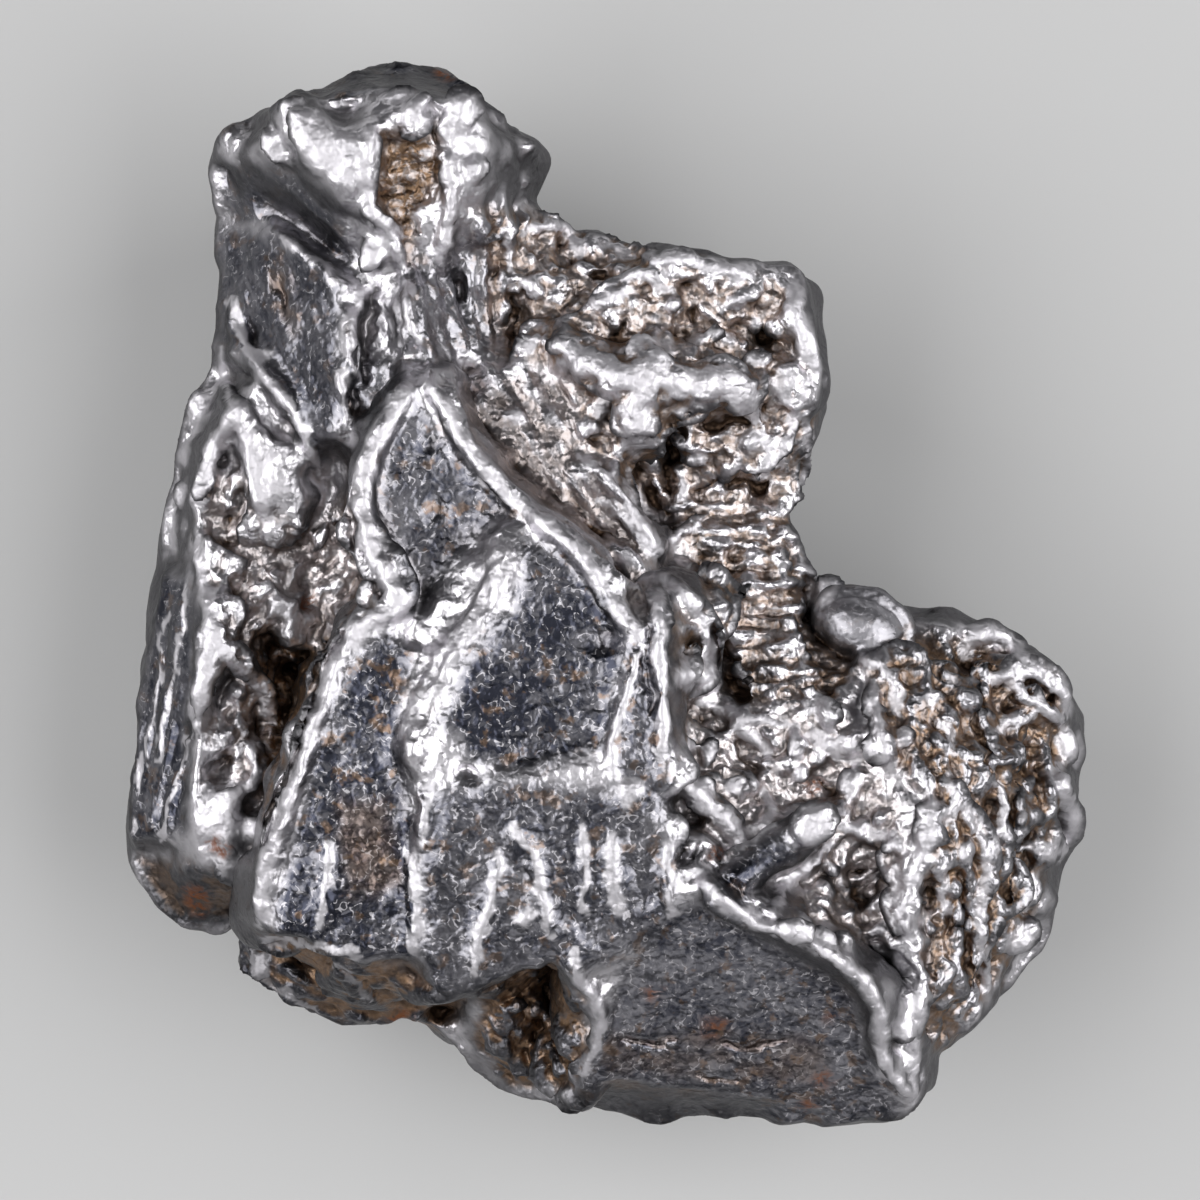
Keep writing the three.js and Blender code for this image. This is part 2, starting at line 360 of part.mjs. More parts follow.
const PITS = [
  // window and scoop of the head, fold below it
  [-4.75, 23.2, 1.0, 0.7, 1.0, 82], [-6.3, 24.9, 0.55, 0.45, 0.5, 0], [-7.7, 22.3, 1.6, 0.45, 0.6, -40],
  // crack beside the rope ridge, leaf pit of the shoulder
  [-5.85, 19.3, 1.1, 0.3, 0.6, 82], [-8.7, 19.6, 0.75, 0.4, 0.6, -60],
  // left recess
  [-9.4, 10.5, 0.9, 0.4, 0.9, 85], [-9.4, 8.85, 0.5, 0.45, 0.8, 0], [-8.4, 7.9, 0.45, 0.4, 0.6, 0],
  [-7.75, 11.0, 1.0, 0.75, 1.1, 90], [-9.3, 14.8, 0.7, 0.45, 0.8, 80], [-7.5, 14.3, 0.5, 0.4, 0.6, 0],
  [-9.3, 16.6, 0.7, 0.4, 0.6, 80],
  // hollows of the front plate
  [-4.2, 16.5, 0.9, 0.6, 0.5, 80], [-4.0, 14.8, 0.95, 0.9, 0.5, 0], [-1.3, 11.3, 2.1, 1.4, 0.6, 80],
  [-3.2, 8.8, 0.55, 0.45, 0.4, 0], [-4.3, 8.1, 0.55, 0.45, 0.4, 0],
  // saddle and upper right block, with the deep slit
  [-2.3, 19.8, 0.95, 0.6, 1.0, 60], [-0.3, 20.9, 0.45, 0.45, 0.9, 0], [0.3, 19.4, 0.5, 0.4, 0.7, 0],
  [2.0, 19.9, 0.55, 0.5, 0.5, 0], [3.8, 19.5, 0.6, 0.55, 0.9, 0], [2.9, 19.3, 0.45, 0.45, 0.5, 0],
  [1.6, 16.5, 0.85, 0.36, 1.6, 82], [2.6, 17.2, 0.6, 0.45, 0.5, 0],
  // gaps beside the ledges, field and right block
  [1.95, 11.7, 0.5, 0.36, 0.5, 80], [2.9, 11.4, 0.7, 0.4, 0.9, -60],
  [5.2, 12.3, 0.9, 0.4, 0.8, -70], [6.1, 6.1, 0.85, 0.7, 0.8, 30],
  [5.2, 8.5, 0.5, 0.4, 0.6, 0], [3.5, 9.2, 0.5, 0.4, 0.6, 0], [7.0, 2.2, 0.5, 0.36, 0.6, 90],
  [9.2, 11.5, 0.6, 0.4, 0.8, 0], [10.4, 9.2, 0.55, 0.55, 0.7, 0],
  // bottom: cavity beside the wedge, toe cavity
  [-1.6, 2.2, 1.0, 0.7, 1.0, 70], [-1.4, 3.8, 0.6, 0.36, 0.7, 75], [-7.4, 4.3, 0.9, 0.55, 0.9, -15],
];

// Round-backed sections: a crest falls this share of its half width at its edge
const EDGE_FALL = 0.6;

const crests = RIDGES.map(([halfWidth, proud, path]) => {
  const feet = path.map(([x, y, crest]) =>
    new THREE.Vector3(x, y, crest ? crest - proud : groundAt(x, y, halfWidth / 2)));
  const line = new THREE.CatmullRomCurve3(feet);
  const points = line.getSpacedPoints(Math.ceil(line.getLength() / CREST_STEP));
  const reach = new THREE.Box3().setFromPoints(points).expandByScalar(halfWidth);
  return { halfWidth, proud, points, reach };
});

const domes = LUMPS.map(([x, y, long, wide, proud, turn]) =>
  ({ x, y, long, wide, proud, turn, foot: groundAt(x, y) }));

const hollows = PITS.map(([x, y, long, wide, depth, turn]) => ({ x, y, long, wide, depth, turn }));

// Nearest point of a crest to a point of the face, with the crest's own height
function nearestOn(points, x, y) {
  let best = null;
  for (let i = 1; i < points.length; i += 1) {
    const a = points[i - 1];
    const b = points[i];
    const runX = b.x - a.x;
    const runY = b.y - a.y;
    const along = ((x - a.x) * runX + (y - a.y) * runY) / (runX * runX + runY * runY);
    const share = THREE.MathUtils.clamp(along, 0, 1);
    const spot = new THREE.Vector3().lerpVectors(a, b, share);
    const away = Math.hypot(x - spot.x, y - spot.y);
    if (best === null || away < best.away) {
      best = { spot, away };
    }
  }
  return best;
}

// Square of the distance from an oval's middle, 1 on its rim
function ovalReach({ x, y, long, wide, turn }, atX, atY) {
  const angle = THREE.MathUtils.degToRad(turn);
  const alongLong = (atX - x) * Math.cos(angle) + (atY - y) * Math.sin(angle);
  const alongWide = (atY - y) * Math.cos(angle) - (atX - x) * Math.sin(angle);
  return (alongLong / long) ** 2 + (alongWide / wide) ** 2;
}

function reliefAt(x, y, ground) {
  let height = ground;
  for (const { halfWidth, proud, points, reach } of crests) {
    if (x > reach.min.x && x < reach.max.x && y > reach.min.y && y < reach.max.y) {
      const { spot, away } = nearestOn(points, x, y);
      const share = away / halfWidth;
      if (share < 1) {
        const top = spot.z + proud - (proud + EDGE_FALL * halfWidth) * share * share;
        height = Math.max(height, top);
      }
    }
  }
  for (const dome of domes) {
    const share = ovalReach(dome, x, y);
    if (share < 1) {
      const fall = dome.proud + EDGE_FALL * dome.wide;
      height = Math.max(height, dome.foot + dome.proud - fall * share);
    }
  }
  for (const hollow of hollows) {
    const share = ovalReach(hollow, x, y);
    if (share < 1) {
      height -= hollow.depth * (1 - share);
    }
  }
  return height;
}

// The face: a sheet of vertices, drawn onto the crests where one passes close by

const sheetWidth = RIGHT - LEFT + 2 * MARGIN;
const sheetLength = HIGH - LOW + 2 * MARGIN;
const columns = Math.round(sheetWidth / CELL);
const rows = Math.round(sheetLength / CELL);
const sheet = new THREE.PlaneGeometry(sheetWidth, sheetLength, columns, rows);
sheet.translate(MIDDLE_X, MIDDLE_Y, 0);
const spots = sheet.attributes.position;

// Even spread of numbers from 0 to 1, the same every time
const GOLDEN = 0.6180339887;
const PLASTIC = 0.7548776662;
const spread = (i, ratio) => (i * ratio) % 1;

for (let i = 0; i < spots.count; i += 1) {
  const x = spots.getX(i) + SCATTER_SHARE * CELL * (2 * spread(i, GOLDEN) - 1);
  const y = spots.getY(i) + SCATTER_SHARE * CELL * (2 * spread(i, PLASTIC) - 1);
  spots.setXY(i, x, y);
  for (const { points, reach } of crests) {
    if (x > reach.min.x && x < reach.max.x && y > reach.min.y && y < reach.max.y) {
      const { spot, away } = nearestOn(points, x, y);
      if (away < SNAP_SHARE * CELL) {
        spots.setXY(i, spot.x, spot.y);
        break;
      }
    }
  }
}

const ground = Array.from({ length: spots.count }, (_, i) => groundAt(spots.getX(i), spots.getY(i)));

// Values of a sheet's eight neighbours
function neighbours(values, i) {
  const wide = columns + 1;
  const column = i % wide;
  const row = Math.floor(i / wide);
  const found = [];
  for (let stepY = -1; stepY <= 1; stepY += 1) {
    for (let stepX = -1; stepX <= 1; stepX += 1) {
      const nextColumn = column + stepX;
      const nextRow = row + stepY;
      const inside = nextColumn >= 0 && nextColumn <= columns && nextRow >= 0 && nextRow <= rows;
      if (inside && (stepX !== 0 || stepY !== 0)) {
        found.push(values[nextRow * wide + nextColumn]);
      }
    }
  }
  return found;
}

// Outside the outline the sheet goes on at the height of the nearest edge
let skirtFilled = ground;
for (let pass = 0; pass < OUTER_PASSES; pass += 1) {
  const before = skirtFilled;
  skirtFilled = before.map((height, i) => (height > 0 ? height : Math.max(...neighbours(before, i))));
}

// Sharp valleys between the masses are filled a little, as melting left them
let filled = skirtFilled;
for (let pass = 0; pass < FILLET_PASSES; pass += 1) {
  const before = filled;
  filled = before.map((height, i) => {
    const around = neighbours(before, i);
    const mean = around.reduce((sum, value) => sum + value, 0) / around.length;
    return height + Math.max(0, mean - height) * FILLET_SHARE;
  });
}

const heights = filled.map((height, i) => reliefAt(spots.getX(i), spots.getY(i), height));

// How far a vertex stands above its neighbours: over 0 on a crest, under 0 in a valley
const swell = heights.map((height, i) => {
  const around = neighbours(heights, i);
  return height - around.reduce((sum, value) => sum + value, 0) / around.length;
});

// A block with the sheet as its top. A square is folded upwards on a crest, else downwards.

function blockUnder(topHeights) {
  const count = spots.count;
  const wide = columns + 1;
  const points = new Float32Array(count * 6);
  for (let i = 0; i < count; i += 1) {
    points.set([spots.getX(i), spots.getY(i), topHeights[i]], i * 3);
    points.set([spots.getX(i), spots.getY(i), BELOW], (count + i) * 3);
  }
  const triangles = [];
  const quad = (a, b, c, d) => triangles.push(a, b, c, a, c, d);
  for (let row = 0; row < rows; row += 1) {
    for (let column = 0; column < columns; column += 1) {
      const a = row * wide + column;
      const b = a + wide;
      const c = b + 1;
      const d = a + 1;
      const firstIsHigher = topHeights[a] + topHeights[c] >= topHeights[b] + topHeights[d];
      const onCrest = swell[a] + swell[b] + swell[c] + swell[d] >= 0;
      if (firstIsHigher === onCrest) {
        quad(a, b, c, d);
      } else {
        quad(b, c, d, a);
      }
      quad(count + d, count + c, count + b, count + a);
    }
  }
  for (let column = 0; column < columns; column += 1) {
    const far = rows * wide + column;
    quad(column, column + 1, count + column + 1, count + column);
    quad(far + 1, far, count + far, count + far + 1);
  }
  for (let row = 0; row < rows; row += 1) {
    const near = row * wide;
    const far = near + columns;
    quad(near + wide, near, count + near, count + near + wide);
    quad(far, far + wide, count + far + wide, count + far);
  }
  const geometry = new THREE.BufferGeometry();
  geometry.setAttribute('position', new THREE.BufferAttribute(points, 3));
  geometry.setIndex(triangles);
  return geometry;
}

// The masses, swept upwards, give the outline, the sides and the underside of the nugget

const swept = Object.values(MASSES).map((points) => hull([
  ...points, ...points.map(([x, y, z]) => [x, y, z + SWEEP]),
]));

const restingCut = hull([
  [-SKY, -SKY, BELOW * 2], [SKY, -SKY, BELOW * 2], [SKY, SKY, BELOW * 2], [-SKY, SKY, BELOW * 2],
  [-SKY, -SKY, 0], [SKY, -SKY, 0], [SKY, SKY, 0], [-SKY, SKY, 0],
]);

const body = union(swept)
  .intersect(solidOf(blockUnder(heights)))
  .subtract(restingCut);

const meteorite = new THREE.Mesh(
  geometryOf(body),
  new THREE.MeshStandardMaterial({ color: 0xb4b2b0, roughness: 0.32, metalness: 1.0 }),
);
meteorite.name = 'meteorite';
meteorite.position.set(-MIDDLE_X, -MIDDLE_Y, 0);

const part = new THREE.Group();
part.add(meteorite);

export default part;
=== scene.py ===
# Iron meteorite: the finished surface of the nugget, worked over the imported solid.
# Points are in millimetres on the face as it lies: x to the right, y from the lower end up to
# the head, z up from the resting face. The finished piece is put back in metres.

import math

import bmesh
import bpy
import numpy as np
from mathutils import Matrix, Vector, noise
from mathutils.bvhtree import BVHTree


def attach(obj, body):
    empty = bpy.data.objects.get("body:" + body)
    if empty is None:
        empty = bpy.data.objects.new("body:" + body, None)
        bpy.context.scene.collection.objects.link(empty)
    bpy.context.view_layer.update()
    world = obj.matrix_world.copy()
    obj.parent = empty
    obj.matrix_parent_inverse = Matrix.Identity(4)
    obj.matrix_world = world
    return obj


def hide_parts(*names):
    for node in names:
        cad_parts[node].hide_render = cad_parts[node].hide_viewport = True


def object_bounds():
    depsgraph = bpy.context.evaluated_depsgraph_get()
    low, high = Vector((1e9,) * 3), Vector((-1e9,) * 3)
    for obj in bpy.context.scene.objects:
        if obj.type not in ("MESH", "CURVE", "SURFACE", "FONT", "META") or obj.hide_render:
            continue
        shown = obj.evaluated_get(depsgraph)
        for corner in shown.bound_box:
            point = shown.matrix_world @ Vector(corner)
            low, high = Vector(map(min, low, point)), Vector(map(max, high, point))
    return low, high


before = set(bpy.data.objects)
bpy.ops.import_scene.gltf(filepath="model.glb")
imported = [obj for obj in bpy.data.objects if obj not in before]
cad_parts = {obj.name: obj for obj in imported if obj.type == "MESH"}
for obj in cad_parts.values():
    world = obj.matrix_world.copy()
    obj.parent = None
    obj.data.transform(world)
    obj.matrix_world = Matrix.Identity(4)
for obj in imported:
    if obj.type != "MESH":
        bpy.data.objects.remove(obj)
cad_low, cad_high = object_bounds()

# Driving sizes in millimetres: left edge and lower end of the face as drawn, grain of the two
# meshes, a height over everything
MM = 0.001
FACE_LEFT = -12.0
FACE_FOOT = 0.05
COARSE_VOXEL = 0.13
FINE_VOXEL = 0.09
SKY = 60.0
TRIANGLES = 188000
SHIFT = np.array([cad_low.x / MM - FACE_LEFT, cad_low.y / MM - FACE_FOOT, 0.0])

# The photograph's frame: 30 mm wide, seen straight from above
VIEW_WIDTH = 30.0
VIEW_CENTRE = (-0.10, -0.225)
VIEW_LEVEL = 6.5
LENS = 135.0
SENSOR = 36.0
CLIP = (0.005, 10.0)


# Meshes and modifiers

def rows_of(items, name, width, kind=float):
    """One value of each item of a mesh, a row each."""
    flat = np.zeros(len(items) * width, dtype=kind)
    items.foreach_get(name, flat)
    return flat.reshape(-1, width)


def points_of(mesh):
    return rows_of(mesh.vertices, "co", 3)


def normals_of(mesh):
    return rows_of(mesh.vertex_normals, "vector", 3)


def edges_of(mesh):
    return rows_of(mesh.edges, "vertices", 2, np.int32)


def set_points(mesh, points):
    mesh.vertices.foreach_set("co", points.astype(np.float32).ravel())
    mesh.update()


def mesh_from(points, faces):
    mesh = bpy.data.meshes.new("shape")
    mesh.from_pydata([tuple(p) for p in points], [], faces)
    return mesh


def modified(mesh, *steps):
    """The mesh after the given modifiers, each a kind and its settings."""
    holder = bpy.data.objects.new("shape", mesh)
    bpy.context.scene.collection.objects.link(holder)
    for kind, settings in steps:
        modifier = holder.modifiers.new(kind, kind)
        for name, value in settings.items():
            setattr(modifier, name, value)
    graph = bpy.context.evaluated_depsgraph_get()
    result = bpy.data.meshes.new_from_object(holder.evaluated_get(graph))
    bpy.data.objects.remove(holder)
    return result


def remesh(size):
    return ("REMESH", {"mode": "VOXEL", "voxel_size": size, "adaptivity": 0.0})


def smooth(passes, share=0.5):
    return ("SMOOTH", {"factor": share, "iterations": passes})


def decimate(ratio):
    return ("DECIMATE", {"ratio": ratio, "use_collapse_triangulate": True})


# Lines and areas on the face

EDGE_BLUR = 0.3
SEED_WAY = np.array([1.0, 1.7, 0.3])


def spline(corners, step):
    """Points about a step apart on a smooth line through the corners."""
    corners = np.array(corners, float)
    ends = np.vstack([2 * corners[0] - corners[1], corners, 2 * corners[-1] - corners[-2]])
    line = []
    for a, b, c, d in zip(ends, ends[1:], ends[2:], ends[3:]):
        count = max(2, math.ceil(np.linalg.norm(c - b) / step))
        t = np.linspace(0, 1, count, endpoint=False)[:, None]
        bend = 2 * a - 5 * b + 4 * c - d
        twist = 3 * b - a - 3 * c + d
        line.append(b + 0.5 * t * ((c - a) + t * (bend + t * twist)))
    line.append(corners[-1:])
    return np.vstack(line)


def distance_to_line(spots, line):
    best = np.full(len(spots), np.inf)
    for a, b in zip(line, line[1:]):
        run = b - a
        along = np.clip((spots - a) @ run / (run @ run), 0, 1)
        away = np.linalg.norm(spots - a - along[:, None] * run, axis=1)
        best = np.minimum(best, away)
    return best


def near(spots, line, reach):
    """Indices of the spots in the box round a line."""
    low = line.min(axis=0) - reach
    high = line.max(axis=0) + reach
    return np.where(np.all((spots > low) & (spots < high), axis=1))[0]


def ease(values, start, end):
    """0 up to the start, 1 from the end on, with a soft step between."""
    share = np.clip((values - start) / (end - start), 0, 1)
    return share * share * (3 - 2 * share)


def inside(spots, corners, blur=EDGE_BLUR):
    """1 inside an outline on the face, 0 outside, with a soft edge."""
    corners = np.array(corners, float)
    loop = np.vstack([corners, corners[:1]])
    weight = np.zeros(len(spots))
    close = near(spots, loop, blur)
    x, y = spots[close].T
    odd = np.zeros(len(close), bool)
    for (x0, y0), (x1, y1) in zip(loop, loop[1:]):
        if y0 != y1:
            crosses = (y0 > y) != (y1 > y)
            odd ^= crosses & (x < x0 + (y - y0) * (x1 - x0) / (y1 - y0))
    away = distance_to_line(spots[close], loop)
    weight[close] = ease(np.where(odd, away, -away), -blur, blur)
    return weight


def inside_any(spots, areas):
    return np.maximum.reduce([inside(spots, area) for area in areas])


def oval_share(spots, x, y, long, wide, turn):
    """Square of the distance from an oval's middle: 1 on its rim."""
    angle = math.radians(turn)
    across = spots - np.array([x, y])
    along = across @ np.array([math.cos(angle), math.sin(angle)])
    beside = across @ np.array([-math.sin(angle), math.cos(angle)])
    return (along / long) ** 2 + (beside / wide) ** 2


def waves(points, size, seed):
    """Soft noise from -1 to 1 with features of the given size."""
    return np.array([noise.noise(Vector(p)) for p in points / size + seed * SEED_WAY])


def cells(points, size, seed):
    """Distance to the nearest of many scattered points: 0 in a cell's middle."""
    return np.array([noise.voronoi(Vector(p))[0][0] for p in points / size + seed * SEED_WAY])


# Ridges: radius and height of the crest over the solid, both scaled when built, path on the face

RIDGES = [
    # front plate: left crest, both sides of the arch, right crests
    (0.24, 0.16, [(-4.95, 12.7), (-5.5, 12.55), (-6.0, 12.2), (-6.5, 11.4), (-6.85, 10.4), (-7.2, 9.3),
                  (-7.6, 8.2), (-7.9, 7.3), (-8.2, 6.2), (-8.3, 5.2)]),
    (0.27, 0.14, [(-4.75, 18.05), (-5.2, 17.3), (-5.6, 16.6), (-5.85, 15.4), (-5.6, 14.2), (-5.15, 13.5),
                  (-4.9, 13.0), (-4.95, 12.7)]),
    (0.22, 0.16, [(-4.3, 18.2), (-3.8, 17.5), (-3.3, 16.6), (-2.8, 15.9), (-2.2, 15.3), (-1.5, 14.8),
                  (-0.9, 14.3), (-0.3, 13.6), (0.2, 12.8), (0.7, 12.1)]),
    (0.14, 0.16, [(0.95, 11.9), (0.6, 11.1), (0.35, 10.2), (0.15, 9.4), (0.2, 8.6)]),
    (0.17, 0.20, [(1.3, 13.2), (1.25, 12.2), (1.3, 11.0), (1.35, 10.0), (1.3, 9.2)]),
    # front plate: streaks running down to the lower edge
    (0.14, 0.12, [(-6.6, 7.1), (-6.7, 6.0), (-6.9, 5.2)]),
    (0.18, 0.14, [(-4.65, 6.9), (-4.55, 6.0), (-4.55, 4.6)]),
    (0.16, 0.14, [(-2.55, 7.0), (-2.7, 5.8), (-3.05, 4.9), (-3.1, 3.9)]),
    (0.17, 0.14, [(-2.2, 7.6), (-1.75, 6.9), (-1.5, 5.8), (-1.3, 4.9)]),
    (0.24, 0.14, [(0.15, 7.4), (0.15, 6.5), (0.3, 5.6)]),
    (0.16, 0.12, [(1.55, 7.2), (1.45, 6.4), (1.6, 5.4)]),
    (0.14, 0.10, [(-4.2, 8.6), (-4.35, 7.6), (-4.4, 7.1)]),
    (0.13, 0.10, [(-0.6, 7.6), (-0.5, 6.6), (-0.6, 5.6)]),
    # lower wedge: right crest, left edge, crest at the lower right corner
    (0.20, 0.16, [(2.2, 6.4), (2.9, 5.75), (3.6, 5.3), (4.2, 5.1)]),
    (0.19, 0.20, [(4.9, 4.75), (5.5, 4.4), (6.2, 3.8), (6.55, 3.1), (6.6, 2.4), (6.8, 1.6), (7.5, 0.75)]),
    (0.17, 0.14, [(-0.7, 4.6), (-0.75, 4.0), (-0.2, 3.2), (-0.2, 2.2), (-0.6, 1.4)]),
    (0.15, 0.16, [(7.4, 3.7), (7.55, 2.9), (7.5, 1.7), (7.6, 0.9)]),
    # head: posts of the window, sticks down the neck, rope ridge
    (0.21, 0.20, [(-5.65, 24.2), (-5.75, 23.1), (-5.7, 22.4), (-5.4, 22.05), (-5.0, 21.85)]),
    (0.17, 0.18, [(-3.85, 23.6), (-3.72, 22.8), (-3.85, 22.1), (-3.95, 21.3)]),
    (0.15, 0.22, [(-5.15, 21.85), (-4.95, 21.15)]),
    (0.13, 0.16, [(-4.5, 22.5), (-4.5, 21.9)]),
    (0.14, 0.22, [(-4.85, 20.65), (-4.75, 19.9), (-4.6, 19.1)]),
    (0.10, 0.14, [(-5.1, 20.3), (-5.0, 19.7), (-4.88, 19.1)]),
    (0.17, 0.20, [(-5.75, 20.6), (-6.15, 19.9), (-6.2, 19.2), (-6.1, 18.35)]),
    (0.14, 0.18, [(-6.45, 18.5), (-6.35, 17.9), (-6.25, 17.3)]),
    (0.12, 0.14, [(-2.45, 22.0), (-2.4, 21.5), (-2.3, 21.0)]),
    # left shoulder: fold edge, rim of the leaf hollow, diagonal edge, split ridge
    (0.12, 0.10, [(-7.9, 21.85), (-7.4, 21.4), (-6.9, 21.0), (-6.4, 20.5)]),
    (0.18, 0.12, [(-9.25, 20.3), (-9.15, 19.7), (-8.75, 19.15), (-8.3, 18.85)]),
    (0.16, 0.12, [(-8.9, 19.1), (-8.2, 18.3), (-7.5, 17.3), (-7.05, 16.2)]),
    (0.22, 0.14, [(-9.0, 17.6), (-9.5, 16.8), (-9.85, 16.1), (-10.0, 15.4)]),
    (0.20, 0.14, [(-9.05, 17.6), (-8.75, 16.8), (-8.55, 15.8), (-8.3, 14.9)]),
    (0.16, 0.12, [(-9.1, 17.75), (-9.5, 18.4), (-9.55, 19.2)]),
    # left face
    (0.30, 0.18, [(-9.62, 12.6), (-9.6, 11.9), (-9.8, 11.0), (-9.98, 10.1)]),
    (0.22, 0.45, [(-9.4, 11.8), (-8.9, 11.35), (-8.45, 10.75), (-8.3, 10.0)]),
    (0.20, 0.18, [(-8.65, 9.5), (-8.6, 8.8), (-8.9, 8.3), (-9.6, 8.15)]),
    (0.08, 0.08, [(-10.85, 12.7), (-11.0, 11.5), (-11.2, 10.4), (-11.35, 9.5), (-11.45, 8.7)]),
    (0.10, 0.10, [(-10.3, 13.2), (-10.45, 12.0), (-10.65, 11.0), (-10.9, 10.1), (-11.1, 9.0)]),
    (0.08, 0.08, [(-11.6, 9.1), (-11.7, 8.0), (-11.8, 7.0)]),
    (0.07, 0.06, [(-10.2, 9.9), (-10.4, 9.0), (-10.8, 8.0), (-10.95, 7.0)]),
    (0.20, 0.16, [(-10.1, 14.4), (-9.95, 13.7), (-9.7, 13.1)]),
    # spongy upper right block and its pale forked lump
    (0.22, 0.16, [(1.1, 21.25), (2.2, 21.1), (3.5, 20.85)]),
    (0.28, 0.20, [(4.6, 20.55), (4.6, 19.9), (4.85, 19.3), (5.1, 18.6)]),
    (0.46, 0.42, [(-0.75, 18.75), (-0.2, 18.6), (0.3, 18.3), (1.2, 18.35), (2.0, 18.15), (2.9, 18.2),
                  (3.3, 17.9), (3.55, 17.5)]),
    (0.46, 0.44, [(1.3, 19.1), (1.15, 18.4), (0.75, 17.7), (0.75, 16.8)]),
    (0.20, 0.18, [(4.1, 18.2), (4.55, 17.7), (4.95, 18.2)]),
    (0.18, 0.16, [(4.6, 17.6), (4.45, 16.9), (4.2, 16.3)]),
    (0.16, 0.16, [(3.9, 16.9), (4.05, 16.3), (3.7, 15.95)]),
    (0.16, 0.18, [(0.5, 19.0), (0.8, 19.3), (1.2, 19.2)]),
    (0.17, 0.16, [(0.5, 20.9), (1.0, 20.85), (1.5, 20.6)]),
    (0.16, 0.14, [(-0.3, 20.15), (0.2, 20.4), (0.6, 20.5)]),
    (0.13, 0.16, [(-0.6, 16.5), (0.0, 15.9), (0.6, 15.2), (1.2, 14.2)]),
    (0.15, 0.16, [(-0.1, 15.4), (0.7, 14.7), (1.3, 14.05)]),
    (0.14, 0.16, [(1.55, 14.3), (2.0, 14.7), (2.4, 15.0)]),
    (0.13, 0.14, [(0.6, 16.0), (0.75, 15.3), (1.0, 14.9)]),
    (0.15, 0.14, [(4.85, 17.4), (5.05, 16.6), (4.9, 15.8)]),
    # saddle: curled edges at the top
    (0.18, 0.18, [(-2.0, 22.0), (-1.4, 22.2), (-1.0, 22.1), (-0.6, 21.5)]),
    (0.13, 0.14, [(-0.2, 21.8), (0.3, 21.6), (0.7, 21.4)]),
    # loop beside the plate
    (0.25, 0.26, [(1.5, 13.4), (2.1, 12.8), (2.45, 12.1), (2.5, 11.4), (2.2, 11.0), (1.8, 11.0),
                  (1.9, 11.6)]),
    # ribbed right block and its knots
    (0.20, 0.18, [(6.2, 11.5), (6.75, 11.3), (7.05, 10.8), (7.1, 10.3)]),
    (0.17, 0.36, [(6.45, 10.9), (6.6, 10.0), (6.75, 9.0)]),
    (0.27, 0.42, [(7.85, 8.15), (7.75, 7.5), (7.65, 6.9)]),
    (0.20, 0.24, [(7.05, 6.25), (7.6, 6.2)]),
    (0.24, 0.40, [(7.0, 5.95), (7.1, 5.4), (7.25, 4.9)]),
    (0.20, 0.26, [(5.8, 7.45), (6.4, 7.3), (6.9, 7.3)]),
    (0.17, 0.24, [(8.2, 8.7), (8.45, 8.15), (8.1, 7.65)]),
    (0.18, 0.24, [(8.6, 7.95), (8.95, 7.4), (9.25, 6.6), (9.1, 5.6), (9.2, 4.6), (9.4, 3.8), (9.45, 3.2)]),
    (0.18, 0.24, [(9.5, 8.5), (9.7, 7.8), (9.5, 6.9)]),
    (0.13, 0.14, [(8.15, 6.4), (8.15, 5.9), (8.3, 5.3)]),
    (0.13, 0.14, [(8.0, 10.0), (8.3, 9.8), (8.4, 9.4)]),
    (0.25, 0.38, [(8.9, 11.7), (9.1, 12.0), (9.5, 12.15), (10.0, 11.9), (10.3, 11.5)]),
    (0.25, 0.40, [(9.5, 11.0), (10.1, 11.2), (10.7, 11.05), (11.2, 10.75), (11.45, 10.3)]),
    (0.18, 0.36, [(9.95, 10.9), (10.35, 10.55), (10.85, 10.25), (11.25, 9.95)]),
    (0.20, 0.36, [(9.55, 9.85), (10.0, 10.0), (10.5, 10.1)]),
    (0.28, 0.36, [(11.1, 8.8), (11.3, 8.1), (11.55, 7.5), (11.55, 7.0)]),
    (0.30, 0.36, [(10.4, 6.95), (10.9, 6.8), (11.4, 6.7)]),
    (0.20, 0.16, [(10.3, 5.3), (10.55, 5.7), (10.6, 6.1)]),
    # field between the plate and the ribbed block
    (0.16, 0.16, [(3.95, 5.5), (4.3, 6.05), (4.9, 6.6), (5.4, 7.0)]),
    (0.33, 0.40, [(1.9, 8.5), (2.6, 7.9), (3.3, 7.25)]),
    (0.20, 0.18, [(3.5, 7.35), (3.95, 7.75), (3.9, 8.2)]),
    (0.17, 0.18, [(2.2, 10.5), (2.9, 10.25), (3.5, 10.05), (4.3, 9.95)]),
    (0.22, 0.18, [(3.2, 9.85), (3.7, 9.5), (4.0, 9.2)]),
    (0.17, 0.38, [(4.55, 9.85), (4.6, 9.1)]),
    (0.24, 0.18, [(5.0, 9.7), (5.6, 9.35), (6.1, 9.1)]),
    (0.19, 0.45, [(5.25, 10.6), (5.4, 9.8)]),
    # toe
    (0.18, 0.16, [(-6.5, 4.1), (-6.1, 3.7), (-5.85, 3.2)]),
    (0.18, 0.14, [(-8.2, 4.7), (-7.0, 4.6), (-6.0, 4.45)]),
    (0.16, 0.10, [(-8.8, 4.4), (-8.55, 3.7), (-8.0, 3.2), (-7.2, 2.8)]),
]

# Smooth rods, as the ridges but left out of the bright worn colour and painted highlight
RODS = [
    (0.44, 0.70, [(2.9, 6.2), (3.6, 6.7), (4.3, 7.15), (5.05, 7.65)]),
]

# Lumps: x, y, half length, half width, how far the top stands over the solid, turn in degrees

